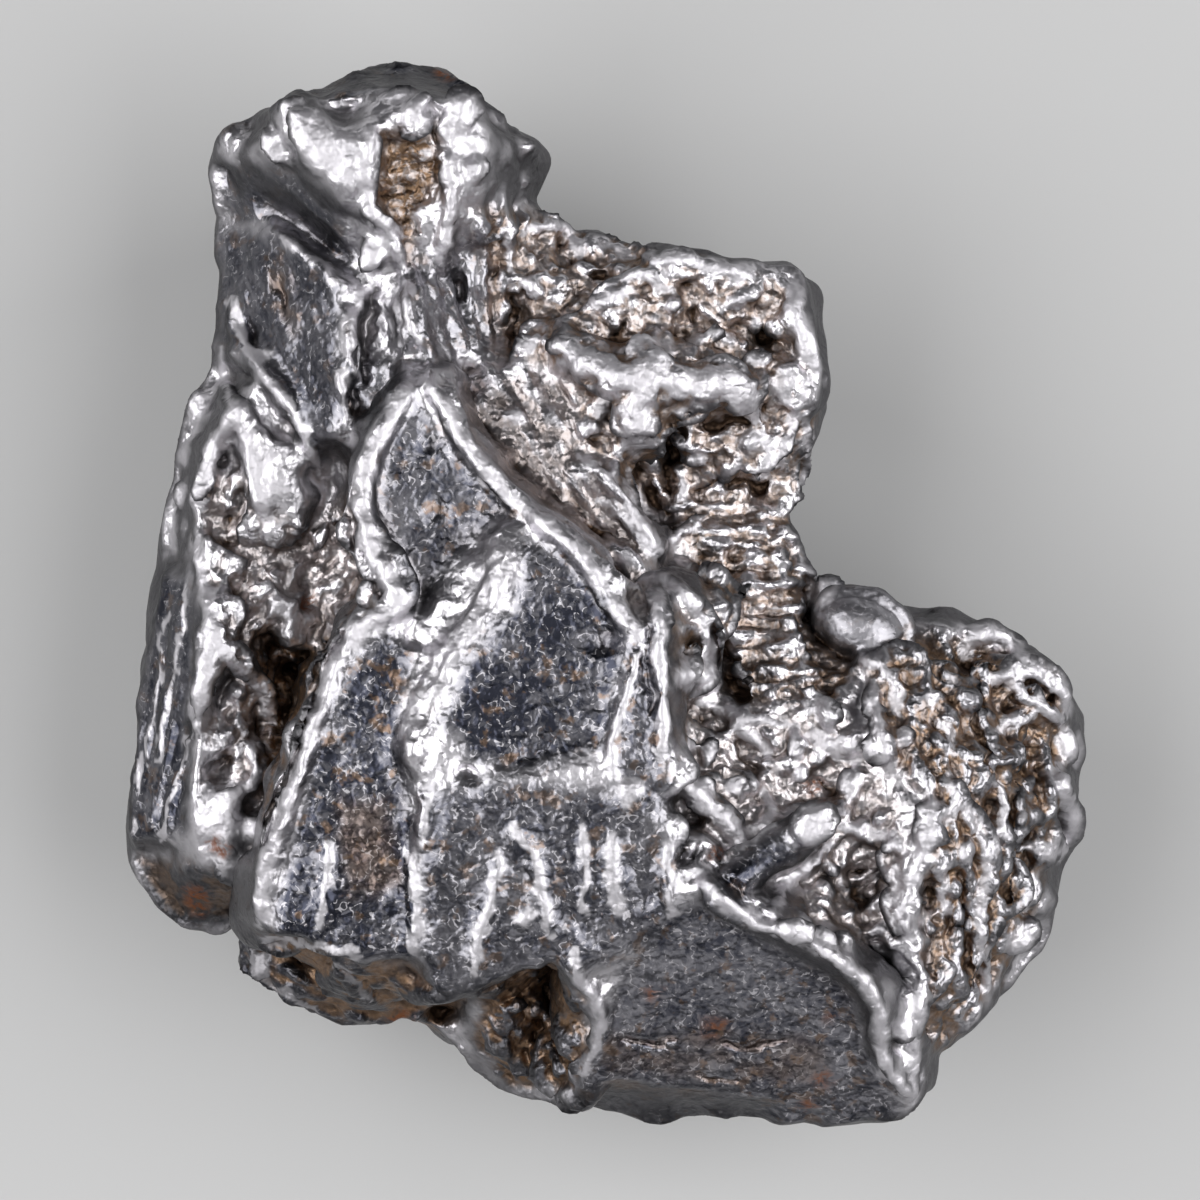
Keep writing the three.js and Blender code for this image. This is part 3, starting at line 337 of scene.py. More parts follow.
LUMPS = [
    # head
    (-6.95, 23.95, 1.15, 0.58, 0.20, -52), (-8.1, 23.95, 0.55, 0.32, 0.18, -60),
    (-4.55, 24.6, 0.55, 0.42, 0.10, 60), (-3.55, 24.7, 0.55, 0.42, 0.22, 80),
    (-3.25, 23.35, 0.42, 0.34, 0.18, 30), (-5.65, 21.35, 0.62, 0.36, 0.26, 65),
    (-5.0, 25.1, 0.5, 0.2, 0.06, 10), (-4.35, 23.8, 0.28, 0.2, 0.08, 30),
    (-7.6, 24.95, 0.4, 0.22, 0.14, 20),
    # left side
    (-10.1, 17.8, 0.42, 0.3, 0.14, 80), (-9.95, 15.65, 0.36, 0.3, 0.18, 60),
    (-10.5, 15.6, 0.3, 0.22, 0.1, 90), (-8.65, 7.3, 0.45, 0.38, 0.18, 0), (-9.2, 6.5, 0.5, 0.35, 0.12, -30),
    # upper right block and saddle
    (1.55, 20.15, 0.24, 0.18, 0.2, 60), (4.45, 18.45, 0.38, 0.36, 0.22, 0),
    (3.7, 18.75, 0.36, 0.24, 0.2, 20), (3.55, 16.85, 0.34, 0.24, 0.2, 0), (2.3, 19.3, 0.4, 0.16, 0.16, 10),
    (2.95, 19.25, 0.3, 0.14, 0.16, -35), (3.15, 20.25, 0.24, 0.16, 0.18, 20),
    (3.65, 19.8, 0.2, 0.16, 0.2, 0), (-1.8, 20.65, 0.34, 0.22, 0.22, -40),
    (-1.8, 19.2, 0.4, 0.25, 0.16, 30), (-1.1, 19.1, 0.3, 0.2, 0.14, 0), (-0.1, 17.7, 0.4, 0.22, 0.2, 45),
    (-0.4, 17.15, 0.24, 0.18, 0.18, 0), (1.8, 17.5, 0.3, 0.14, 0.16, 15), (2.3, 16.45, 0.34, 0.2, 0.14, 0),
    (1.9, 15.65, 0.34, 0.13, 0.14, 70), (-2.2, 17.4, 0.3, 0.2, 0.12, -20),
    # right block and the tip of the rod
    (4.95, 7.6, 0.66, 0.52, 0.90, 40), (5.35, 13.1, 0.5, 0.34, 0.16, 30),
    (11.35, 9.4, 0.58, 0.38, 0.34, -65), (10.2, 6.8, 0.22, 0.18, 0.2, 0), (10.15, 7.65, 0.16, 0.2, 0.2, 0),
    (10.2, 4.6, 0.6, 0.38, 0.30, 45), (7.15, 2.6, 0.42, 0.32, 0.22, -40), (8.5, 11.0, 0.28, 0.24, 0.2, 0),
    (7.9, 10.6, 0.26, 0.18, 0.18, 30), (7.2, 9.6, 0.3, 0.2, 0.18, 80), (8.7, 6.9, 0.34, 0.22, 0.16, 90),
    (7.0, 7.0, 0.3, 0.22, 0.18, 0),
    # field between the plate and the ribbed block
    (4.5, 5.1, 0.55, 0.36, 0.34, -10), (5.15, 4.95, 0.4, 0.3, 0.34, 0), (2.5, 9.3, 0.36, 0.3, 0.38, 60),
    (2.3, 8.55, 0.36, 0.28, 0.24, 0), (3.1, 8.5, 0.34, 0.3, 0.24, 0), (2.0, 9.5, 0.22, 0.2, 0.2, 0),
    (5.9, 8.4, 0.4, 0.3, 0.18, 70), (4.7, 8.7, 0.3, 0.2, 0.18, 40), (5.7, 6.15, 0.18, 0.18, 0.22, 0),
    (5.4, 6.5, 0.18, 0.16, 0.2, 0), (5.9, 9.5, 0.45, 0.3, 0.2, -30), (0.6, 8.4, 0.55, 0.4, 0.12, 70),
    (6.6, 5.0, 0.3, 0.2, 0.14, 10),
    # toe and low plate
    (-8.5, 3.9, 0.45, 0.3, 0.06, 60), (-1.9, 5.4, 0.35, 0.28, 0.12, 30),
]

# Smooth knobs, as the lumps but left out of the bright worn colour and painted highlight
KNOBS = [
    (6.3, 12.2, 1.25, 0.85, 0.12, -25),
]

# Grooves and cracks: half width, depth before it is scaled, path on the face

GROOVES = [
    (0.20, 0.45, [(-5.65, 20.4), (-5.85, 19.6), (-5.95, 18.9), (-5.95, 18.3)]),
    (0.16, 0.40, [(-4.1, 24.75), (-4.1, 24.3), (-3.95, 24.0)]),
    (0.14, 0.30, [(-6.2, 18.3), (-6.1, 17.8), (-6.1, 17.2)]),
    (0.22, 0.12, [(-8.4, 17.9), (-7.7, 17.1), (-7.3, 16.3), (-7.1, 15.4)]),
    (0.24, 0.50, [(-6.35, 12.1), (-6.95, 11.0), (-7.4, 9.6), (-7.8, 8.3), (-8.15, 7.2)]),
    (0.18, 0.35, [(-6.1, 15.8), (-6.2, 15.0), (-5.9, 14.0), (-5.4, 13.2)]),
    (0.24, 0.60, [(1.75, 17.1), (1.6, 16.5), (1.5, 15.8)]),
    (0.20, 0.45, [(1.1, 15.6), (1.4, 15.1), (1.6, 14.7)]),
    (0.26, 0.60, [(2.65, 12.0), (2.9, 11.3), (3.2, 10.6)]),
    (0.20, 0.50, [(4.95, 13.3), (4.95, 12.5), (5.3, 11.9), (6.0, 11.5)]),
    (0.16, 0.30, [(-0.9, 14.9), (0.0, 14.5), (0.7, 14.3)]),
    (0.16, 0.35, [(-1.4, 4.0), (-1.5, 3.3), (-1.2, 2.8)]),
    (0.16, 0.30, [(-8.9, 4.9), (-8.0, 4.4), (-6.8, 4.25)]),
    (0.14, 0.28, [(1.0, 12.3), (1.0, 11.2), (1.05, 10.3)]),
    (0.18, 0.40, [(2.0, 17.35), (2.6, 17.25), (3.4, 17.3)]),
    (0.15, 0.35, [(2.4, 15.85), (3.2, 15.85), (3.9, 15.75)]),
    (0.15, 0.30, [(7.9, 9.9), (7.85, 8.9), (7.95, 8.3)]),
    (0.15, 0.32, [(9.1, 11.0), (9.15, 9.8), (9.3, 8.8)]),
    (0.16, 0.32, [(8.0, 5.2), (8.3, 5.1), (8.8, 5.2)]),
    (0.15, 0.30, [(7.75, 5.8), (7.75, 4.6), (7.8, 3.4)]),
    (0.15, 0.28, [(8.6, 6.3), (8.7, 5.2), (8.8, 4.2), (9.0, 3.4)]),
    (0.14, 0.28, [(10.0, 8.8), (9.95, 7.9), (9.9, 6.6), (9.8, 5.6)]),
    (0.18, 0.30, [(2.4, 6.9), (3.1, 6.0), (3.9, 5.45)]),
    (0.11, 0.25, [(0.5, 2.3), (1.1, 2.2), (1.7, 2.25)]),
    (0.10, 0.22, [(3.0, 2.2), (3.7, 2.1), (4.3, 2.2)]),
    (0.09, 0.18, [(2.3, 1.3), (3.2, 1.2)]),
]

# Pits: x, y, half length, half width, depth before it is scaled, turn in degrees

PITS = [
    # head
    (-4.55, 22.0, 0.35, 0.2, 0.4, 70), (-3.28, 23.28, 0.13, 0.12, 0.16, 0),
    (-6.5, 23.9, 0.14, 0.1, 0.1, 20), (-6.75, 23.6, 0.14, 0.08, 0.1, -20),
    (-6.4, 23.2, 0.18, 0.1, 0.12, -10), (-6.3, 24.75, 0.7, 0.42, 0.3, 10),
    (-3.3, 24.25, 0.16, 0.12, 0.18, 40), (-3.6, 23.75, 0.18, 0.14, 0.16, 0),
    # left side
    (-8.65, 19.6, 0.5, 0.22, 0.5, -65), (-7.95, 20.5, 0.75, 0.22, 0.4, -75),
    (-9.35, 16.6, 0.55, 0.22, 0.4, 80), (-9.4, 15.0, 0.3, 0.2, 0.4, 0), (-9.2, 14.4, 0.3, 0.2, 0.35, 30),
    (-7.45, 14.4, 0.34, 0.22, 0.4, 0), (-8.9, 13.5, 0.4, 0.22, 0.35, 60),
    (-9.45, 10.6, 0.75, 0.22, 0.5, 75), (-9.45, 8.85, 0.42, 0.36, 0.45, 0), (-8.5, 7.85, 0.3, 0.26, 0.4, 0),
    (-7.7, 11.2, 0.8, 0.42, 0.5, 80), (-8.3, 9.8, 0.35, 0.22, 0.3, 60), (-9.6, 6.9, 0.35, 0.2, 0.25, 20),
    # front plate
    (-4.2, 16.65, 0.5, 0.28, 0.25, 20), (-4.0, 15.1, 0.4, 0.5, 0.25, 0), (-3.2, 8.85, 0.35, 0.2, 0.35, -15),
    (-4.3, 8.2, 0.22, 0.18, 0.3, 0), (-5.0, 13.6, 0.3, 0.5, 0.2, 0), (-4.5, 11.9, 0.35, 0.16, 0.2, -35),
    (-5.4, 6.2, 0.4, 0.5, 0.12, 0), (-1.7, 9.4, 0.8, 0.3, 0.15, 10), (0.7, 6.4, 0.25, 0.6, 0.14, 0),
    # upper right block and saddle
    (-2.15, 19.6, 0.5, 0.26, 0.6, 70), (-2.7, 21.1, 0.3, 0.14, 0.4, 80), (-0.25, 20.9, 0.3, 0.22, 0.5, 30),
    (0.35, 19.6, 0.4, 0.2, 0.5, 70), (0.9, 20.4, 0.42, 0.2, 0.35, -20), (2.0, 20.6, 0.4, 0.2, 0.3, 0),
    (2.2, 19.85, 0.5, 0.18, 0.35, -20), (3.9, 19.35, 0.3, 0.3, 0.4, 30), (-0.45, 18.25, 0.26, 0.2, 0.3, 30),
    (-0.3, 16.9, 0.2, 0.26, 0.35, 0), (2.4, 18.65, 0.45, 0.14, 0.3, 0), (3.9, 17.6, 0.24, 0.34, 0.25, 0),
    # ledges, field and right block
    (2.05, 11.9, 0.22, 0.45, 0.5, 0), (6.2, 6.4, 0.5, 0.24, 0.45, 10), (6.2, 5.6, 0.24, 0.4, 0.45, 0),
    (5.1, 8.5, 0.34, 0.18, 0.4, -10), (3.5, 8.85, 0.4, 0.16, 0.4, 15), (3.6, 8.1, 0.22, 0.14, 0.4, 40),
    (6.5, 4.6, 0.34, 0.2, 0.35, 0), (7.05, 2.05, 0.2, 0.26, 0.3, 0), (9.35, 11.45, 0.42, 0.24, 0.5, 10),
    (10.4, 9.3, 0.4, 0.4, 0.4, 0), (4.6, 10.75, 0.22, 0.3, 0.35, 0), (10.5, 8.2, 0.3, 0.5, 0.25, 0),
    (10.0, 10.6, 0.2, 0.1, 0.5, 20), (10.5, 10.75, 0.24, 0.1, 0.5, -10), (10.95, 10.5, 0.18, 0.1, 0.5, 30),
    (10.3, 10.25, 0.16, 0.08, 0.4, 0), (10.1, 5.9, 0.24, 0.4, 0.25, 0),
    # lower edge
    (-1.7, 2.3, 0.5, 0.4, 0.5, 70), (-7.4, 3.95, 0.6, 0.22, 0.4, -10), (-5.1, 2.8, 0.4, 0.2, 0.25, 0),
    (1.2, 2.2, 0.45, 0.1, 0.16, 0), (3.6, 2.15, 0.4, 0.1, 0.14, -5),
]

# Areas of the face, each an outline on it

WINDOW = [(-5.45, 24.2), (-4.1, 24.3), (-3.95, 23.2), (-4.5, 22.5), (-4.7, 21.2), (-5.2, 22.1),
          (-5.55, 22.6)]
HEAD_CAP = [(-9.6, 24.4), (-8.2, 24.9), (-7.0, 25.1), (-5.6, 25.2), (-3.4, 25.2), (-2.2, 24.9),
            (-3.2, 26.6), (-5.4, 27.0), (-8.0, 26.0)]
FOLD = [(-9.5, 23.7), (-8.5, 23.5), (-7.5, 23.3), (-6.5, 22.4), (-6.2, 21.6), (-6.1, 20.8), (-6.9, 21.2),
        (-8.0, 22.1), (-9.4, 22.3)]
SHOULDER = [(-9.7, 22.2), (-8.0, 22.0), (-6.4, 20.6), (-6.4, 17.2), (-7.0, 16.2), (-8.0, 18.2),
            (-9.6, 19.3)]
LEFT_FACE = [(-12.3, 6.6), (-11.2, 13.8), (-10.3, 13.6), (-9.95, 12.4), (-10.2, 10.0), (-10.3, 7.2)]
LEFT_CAVITY = [(-9.9, 16.0), (-9.0, 16.2), (-8.7, 15.2), (-7.2, 15.0), (-6.2, 15.6), (-6.0, 13.6),
               (-5.3, 13.0), (-6.5, 12.0), (-7.4, 9.6), (-8.2, 7.6), (-9.6, 9.0), (-9.2, 11.2),
               (-9.4, 12.4), (-10.0, 14.0)]
ARCH = [(-4.6, 17.8), (-3.2, 16.2), (-1.8, 15.0), (-2.6, 14.8), (-3.5, 14.0), (-4.5, 12.6), (-4.8, 13.4),
        (-5.6, 15.0), (-5.4, 16.4)]
MIDDLE_FACET = [(-2.0, 14.5), (-0.9, 14.0), (0.6, 12.2), (0.2, 10.4), (0.0, 9.4), (-2.3, 8.8), (-3.2, 9.2),
                (-4.0, 10.1), (-3.2, 11.9), (-2.2, 12.8)]
LEFT_STRIP = [(-5.2, 12.4), (-4.6, 11.6), (-5.0, 9.6), (-4.6, 8.4), (-4.3, 4.4), (-6.0, 4.1), (-8.2, 4.6),
              (-7.4, 7.8), (-6.6, 10.4), (-6.0, 11.9)]
LOW_PLATE = [(-4.5, 8.4), (-2.6, 8.8), (0.4, 8.4), (1.9, 7.0), (1.2, 4.6), (-0.8, 4.0), (-3.0, 3.2),
             (-4.4, 3.0)]
WEDGE = [(1.3, 5.5), (2.3, 5.9), (4.2, 4.8), (6.0, 3.8), (6.3, 2.3), (7.2, 0.6), (7.6, -0.8), (3.0, -0.8),
         (-1.6, -0.6), (-0.4, 1.6), (0.0, 3.0), (0.5, 4.2)]
UPPER_BLOCK = [(-3.2, 22.4), (-1.0, 22.6), (1.4, 21.4), (4.4, 20.8), (4.6, 19.0), (5.2, 17.6), (4.9, 15.2),
               (1.4, 15.0), (-0.6, 16.6), (-0.8, 18.6), (-2.6, 18.8)]
SLOPE = [(-4.0, 18.4), (-3.0, 18.6), (-0.8, 18.4), (-0.5, 16.4), (1.2, 14.2), (0.9, 12.4), (-0.8, 14.5),
         (-2.4, 15.8), (-3.4, 17.2)]
LEDGES = [(1.6, 15.4), (4.6, 15.2), (4.9, 13.4), (5.0, 12.2), (6.0, 11.4), (5.8, 10.4), (3.2, 10.4),
          (2.6, 12.2)]
FIELD = [(1.7, 10.8), (3.2, 10.4), (5.8, 10.4), (6.4, 9.2), (7.2, 8.0), (7.0, 4.6), (5.4, 4.8), (4.4, 5.5),
         (5.3, 7.2), (4.6, 8.0), (3.4, 7.2), (2.2, 7.4), (1.6, 8.8)]
RIB_BLOCK = [(6.4, 11.4), (7.6, 12.2), (9.2, 11.8), (11.1, 11.1), (11.3, 9.6), (11.1, 7.4), (10.6, 5.4),
             (9.6, 3.2), (8.4, 1.8), (7.8, 2.4), (7.7, 5.8), (7.9, 8.2), (6.9, 9.0)]
TOE = [(-9.2, 4.9), (-8.2, 4.8), (-6.2, 4.5), (-4.8, 4.1), (-3.6, 3.2), (-4.0, 2.2), (-7.4, 2.2),
       (-9.4, 3.4)]
HEEL = [(-3.0, 3.4), (-1.5, 4.2), (-0.6, 3.4), (-0.5, 2.2), (-0.8, 1.0), (-2.4, 0.8), (-3.2, 2.0)]

HEAD_LOBE = [(-7.4, 24.6), (-6.9, 24.6), (-6.5, 24.2), (-6.0, 24.1), (-6.05, 23.1), (-6.25, 22.8),
             (-6.8, 23.1), (-7.35, 23.6)]
HEAD_RIGHT = [(-4.0, 25.05), (-3.1, 25.1), (-2.8, 24.2), (-2.9, 23.0), (-3.5, 22.9), (-3.9, 23.6)]
PLATE_CORNER = [(1.3, 7.7), (2.3, 7.5), (2.9, 6.5), (2.2, 6.0), (1.5, 6.3)]
SPLIT_FACET = [(-9.0, 17.5), (-8.6, 17.2), (-8.1, 16.2), (-7.9, 15.6), (-8.5, 15.2), (-8.8, 16.0)]
RIGHT_STRIP = [(0.3, 12.2), (0.9, 12.6), (1.5, 13.0), (1.55, 11.0), (1.5, 9.0), (1.4, 7.6), (0.3, 7.8),
               (0.1, 9.4), (0.3, 10.4)]
LOOP = [(1.65, 12.6), (2.25, 12.3), (2.35, 11.3), (1.75, 11.2)]
ROD_BODY = [(2.4, 6.3), (4.2, 7.6), (4.8, 6.9), (3.0, 5.6)]
KNOB = [(4.9, 13.1), (5.6, 13.5), (6.8, 13.5), (7.8, 12.4), (7.0, 11.2), (5.2, 11.5)]
CRYSTAL = [(-8.1, 13.5), (-7.35, 12.65), (-7.7, 11.85), (-8.5, 12.6)]
CAVITY_PIT = [(-8.6, 11.8), (-7.4, 12.0), (-6.9, 11.2), (-7.6, 9.4), (-8.3, 7.8), (-8.5, 9.8)]
LEFT_FOOT = [(-11.8, 6.5), (-9.2, 6.3), (-8.9, 5.0), (-11.2, 4.6)]
FOOT_FACET = [(-10.2, 8.1), (-9.0, 8.1), (-8.8, 6.5), (-9.9, 6.3)]
HEEL_SIDE = [(-3.7, 2.7), (-2.4, 2.2), (-1.6, 1.2), (-1.8, 0.3), (-3.4, 0.4)]
HEEL_GAP = [(-2.3, 3.8), (-1.3, 3.9), (-0.9, 3.0), (-1.3, 2.2), (-2.2, 2.6)]
WEDGE_RIM = [(-0.9, 1.2), (3.0, 1.0), (4.2, 0.4), (4.2, -0.6), (-1.4, -0.4)]
SLIT = [(-8.4, 21.2), (-7.8, 21.0), (-7.6, 19.6), (-7.9, 19.8)]
PLATE_SIDE = [(-9.6, 7.2), (-8.45, 7.2), (-8.6, 5.4), (-8.3, 4.7), (-7.2, 4.3), (-7.2, 3.7), (-9.2, 4.2)]
UNDER_EDGE = [(-6.9, 4.2), (-5.0, 3.6), (-3.5, 3.7), (-2.0, 4.1), (-1.9, 3.4), (-3.4, 2.9), (-5.2, 2.8),
              (-6.9, 3.5)]
PLATE_HOLE = [(-0.9, 5.6), (0.1, 5.6), (0.1, 4.8), (-0.9, 4.8)]
SLOPE_SIDE = [(-4.3, 18.6), (-3.0, 18.6), (-0.8, 18.4), (-0.5, 16.4), (1.2, 14.2), (0.9, 12.6), (0.0, 13.4),
              (-1.2, 14.7), (-2.4, 15.6), (-3.4, 17.0)]
DRAPE_GAP = [(-3.7, 22.0), (-2.9, 22.0), (-2.8, 20.4), (-3.5, 20.2)]
KNOTS = [(9.3, 11.5), (10.4, 11.5), (11.2, 10.9), (11.5, 9.9), (10.7, 9.7), (9.6, 9.7)]
STAINED_STRIP = [(-6.4, 8.2), (-5.2, 8.0), (-5.0, 6.2), (-6.1, 5.8)]
STAINED_WEDGE = [(-0.2, 2.3), (2.5, 2.5), (5.2, 2.2), (5.5, 1.0), (2.0, 0.9), (-0.3, 1.2)]
GULLY = [(-9.0, 18.3), (-8.2, 18.1), (-7.4, 17.0), (-7.8, 16.6), (-8.7, 17.2)]
NECK = [(-6.7, 18.9), (-5.2, 18.9), (-4.9, 18.2), (-5.4, 17.3), (-6.6, 17.1)]
DRAPE = [(-5.1, 21.6), (-3.9, 21.4), (-2.6, 22.9), (-2.2, 21.2), (-2.9, 19.0), (-5.0, 18.7)]
SADDLE = [(-0.1, 14.3), (0.7, 14.4), (1.1, 13.7), (1.0, 12.7), (0.6, 12.6), (0.3, 13.2), (0.0, 13.8)]
BAND = [(-2.9, 14.2), (-2.2, 14.2), (-2.15, 13.2), (-2.9, 12.4), (-3.6, 11.4), (-4.3, 10.3), (-5.0, 9.6),
        (-4.6, 10.6), (-4.0, 11.6), (-3.4, 12.6)]

# Flat facets: area, rise of the plane along x and along y, how far it is sunk, the share of the
# way that the surface goes to it, the furthest that it is raised

FACETS = [
    (MIDDLE_FACET, 0.00, -0.08, -0.05, 0.85, 2.0), (LEFT_STRIP, 0.00, 0.10, -0.07, 0.85, 1.0),
    (LOW_PLATE, 0.00, 0.20, 0.05, 0.8, 2.0), (ARCH, 0.00, 0.05, 0.10, 0.8, 1.0),
    (WEDGE, 0.00, 0.55, 0.1, 0.85, 1.0), (SHOULDER, 0.90, -0.05, 0.0, 0.6, 0.5),
    (WINDOW, -0.05, 0.25, 0.35, 0.85, 0.8), (HEAD_LOBE, 0.36, 0.04, 0.0, 0.9, 0.6),
    (SPLIT_FACET, 0.35, 0.05, 0.0, 0.8, 0.5), (BAND, 0.20, 0.02, 0.05, 0.4, 0.3),
    (LEFT_FACE, 0.85, 0.0, 0.0, 0.85, 1.2), (HEAD_RIGHT, -0.32, 0.0, 0.0, 0.8, 0.6),
    (PLATE_CORNER, 0.0, 0.2, 0.1, 0.9, 4.0), (RIGHT_STRIP, 0.0, 0.0, 0.05, 0.8, 1.0),
    (CRYSTAL, 0.35, 0.05, 0.0, 0.9, 1.5), (FOOT_FACET, 0.35, 0.0, 0.0, 0.8, 0.8),
    (KNOTS, -0.30, 0.0, 0.0, 0.8, 1.2),
]

# Gaps of the solid that are closed on the finished surface
FILLED_AREAS = [NECK, SADDLE, GULLY, HEEL_GAP, PLATE_HOLE, DRAPE_GAP]

# Streaks: area, direction in degrees, length and width of a streak, height

STREAKS = [
    (LEFT_FACE, 80, 3.5, 0.20, 0.12), (FOLD, -43, 1.8, 0.16, 0.07), (SHOULDER, -65, 1.6, 0.20, 0.06),
    (SLOPE, -57, 1.3, 0.20, 0.14), (LEDGES, 2, 1.3, 0.20, 0.22), (WINDOW, 0, 0.7, 0.12, 0.12),
    (RIB_BLOCK, 92, 1.2, 0.30, 0.26), (LOW_PLATE, 92, 1.6, 0.45, 0.05), (LEFT_STRIP, 10, 0.9, 0.45, 0.03),
    (FIELD, 35, 0.8, 0.30, 0.10), (DRAPE, -80, 1.8, 0.22, 0.16), (TOE, 150, 1.0, 0.30, 0.24),
    (HEEL, 110, 0.9, 0.25, 0.22), (LEFT_CAVITY, 70, 0.9, 0.26, 0.18), (BAND, 62, 0.8, 0.22, 0.14),
    (WEDGE, 4, 1.0, 0.40, 0.03),
]

# Scattered drops: area, how many, smallest and largest half length, how far they stand proud

DROPS = [
    (UPPER_BLOCK, 50, 0.07, 0.16, 0.10), (FIELD, 20, 0.07, 0.16, 0.11), (RIB_BLOCK, 25, 0.07, 0.16, 0.12),
    (LEDGES, 15, 0.07, 0.16, 0.08), (LEFT_CAVITY, 15, 0.08, 0.18, 0.13),
]

# Areas with crumpled metal, finely grained plates and calm faces
ROUGH_AREAS = [UPPER_BLOCK, FIELD, RIB_BLOCK, LEFT_CAVITY, HEEL, LEDGES]
PLATE_AREAS = [ARCH, MIDDLE_FACET, LEFT_STRIP, LOW_PLATE, WEDGE, HEAD_CAP, SLOPE]
CALM_AREAS = [SHOULDER, LEFT_FACE, FOLD, KNOB, ROD_BODY]


# Building the surface

FACET_SLOPES = (0.05, 0.35)
GAP_SLOPES = (-0.35, 0.1)
PIT_SLOPES = (0.0, 0.4)
FACE_SLOPES = (0.1, 0.45)
BASE_SMOOTHING = 5
FUSED_SMOOTHING = 2
LAST_SMOOTHING = (1, 0.35)


def solid_in_mm(node):
    """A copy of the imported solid, in millimetres on the face."""
    mesh = node.data.copy()
    mesh.materials.clear()
    set_points(mesh, points_of(mesh) / MM - SHIFT)
    return mesh


def facing_up(mesh, slopes):
    """1 where the surface faces up, 0 where it falls away, between two heights of its normal."""
    return ease(normals_of(mesh)[:, 2], *slopes)


def ground_finder(mesh):
    """A function that gives the height of the surface over points of the face."""
    tree = BVHTree.FromPolygons(points_of(mesh), [tuple(p.vertices) for p in mesh.polygons])
    down = Vector((0, 0, -1))

    def ground(spots):
        hits = [tree.ray_cast(Vector((x, y, SKY)), down)[0] for x, y in spots]
        return np.array([hit.z if hit else np.nan for hit in hits])

    return ground


RIDGE_ROUND = 1.1
RIDGE_LIFT = 0.75
RIDGE_WAVER = 0.15
RIDGE_WANDER = 0.08
RIDGE_SEEDS = 3.1
TUBE_SIDES = 14
TUBE_STEP = 0.12
TUBE_TAPER = 0.35
TUBE_END = 0.45
TUBE_AVERAGE = 5


def ridge_tube(radius, lift, path, ground, seed):
    """A rope of metal along a path, its crest a little over the ground, thinner at its ends."""
    line = spline(path, TUBE_STEP)
    heights = ground(line)
    known = ~np.isnan(heights)
    steps = np.arange(len(line))
    heights = np.interp(steps, steps[known], heights[known])
    padded = np.pad(heights, TUBE_AVERAGE // 2, mode="edge")
    heights = sum(padded[i:i + len(line)] for i in range(TUBE_AVERAGE)) / TUBE_AVERAGE
    travel = np.concatenate([[0], np.cumsum(np.linalg.norm(np.diff(line, axis=0), axis=1))])
    ends = np.minimum(travel, travel[-1] - travel)
    taper = TUBE_END + (1 - TUBE_END) * ease(ends, 0, TUBE_TAPER)
    along = np.column_stack([line, heights])
    size = RIDGE_ROUND * radius * taper * (1 + RIDGE_WAVER * waves(along, 1.0, seed))
    wander = RIDGE_WANDER * radius * waves(along, 0.5, seed + 31)
    middle = np.column_stack([line, heights + RIDGE_LIFT * lift * taper - size + wander])
    run = np.gradient(middle, axis=0)
    run /= np.linalg.norm(run, axis=1)[:, None]
    beside = np.cross(run, [0, 0, 1])
    beside /= np.linalg.norm(beside, axis=1)[:, None]
    over = np.cross(beside, run)
    angles = np.arange(TUBE_SIDES)[None, :, None] * 2 * math.pi / TUBE_SIDES
    around = np.cos(angles) * beside[:, None] + np.sin(angles) * over[:, None]
    points = (middle[:, None] + size[:, None, None] * around).reshape(-1, 3)
    faces = []
    for ring in range(len(line) - 1):
        for side in range(TUBE_SIDES):
            a = ring * TUBE_SIDES + side
            b = ring * TUBE_SIDES + (side + 1) % TUBE_SIDES
            faces.append((a, b, b + TUBE_SIDES, a + TUBE_SIDES))
    last = (len(line) - 1) * TUBE_SIDES
    faces.append(tuple(range(TUBE_SIDES))[::-1])
    faces.append(tuple(last + side for side in range(TUBE_SIDES)))
    return points, faces


BALL_RINGS = 8
BALL_SIDES = 12
BALL_TALL = 0.6
KNOB_TALL = 0.95


def lump_ball(x, y, long, wide, lift, turn, ground, tall_share=BALL_TALL):
    """An oval drop of metal, its top a little over the ground."""
    foot = ground([(x, y)])[0]
    if math.isnan(foot):
        return None
    tall = tall_share * wide
    points = [(0, 0, tall)]
    for ring in range(1, BALL_RINGS):
        fall = math.pi * ring / BALL_RINGS
        for side in range(BALL_SIDES):
            about = 2 * math.pi * side / BALL_SIDES
            points.append((long * math.sin(fall) * math.cos(about),
                           wide * math.sin(fall) * math.sin(about), tall * math.cos(fall)))
    points.append((0, 0, -tall))
    cos, sin = math.cos(math.radians(turn)), math.sin(math.radians(turn))
    turned = np.array(points) @ np.array([[cos, sin, 0], [-sin, cos, 0], [0, 0, 1]])
    faces = []
    for side in range(BALL_SIDES):
        after = (side + 1) % BALL_SIDES
        faces.append((0, 1 + side, 1 + after))
        for ring in range(BALL_RINGS - 2):
            a = 1 + ring * BALL_SIDES
            faces.append((a + side, a + BALL_SIDES + side, a + BALL_SIDES + after, a + after))
        a = 1 + (BALL_RINGS - 2) * BALL_SIDES
        faces.append((len(points) - 1, a + after, a + side))
    return turned + np.array([x, y, foot + lift - tall]), faces


DROP_SEED = 7
DROP_TRIES = 3
DROP_BLUR = 0.15
DROP_NARROWEST = 0.55
DROP_WIDENING = 0.4
DROP_LOWEST = 0.5
DROP_RISING = 0.7


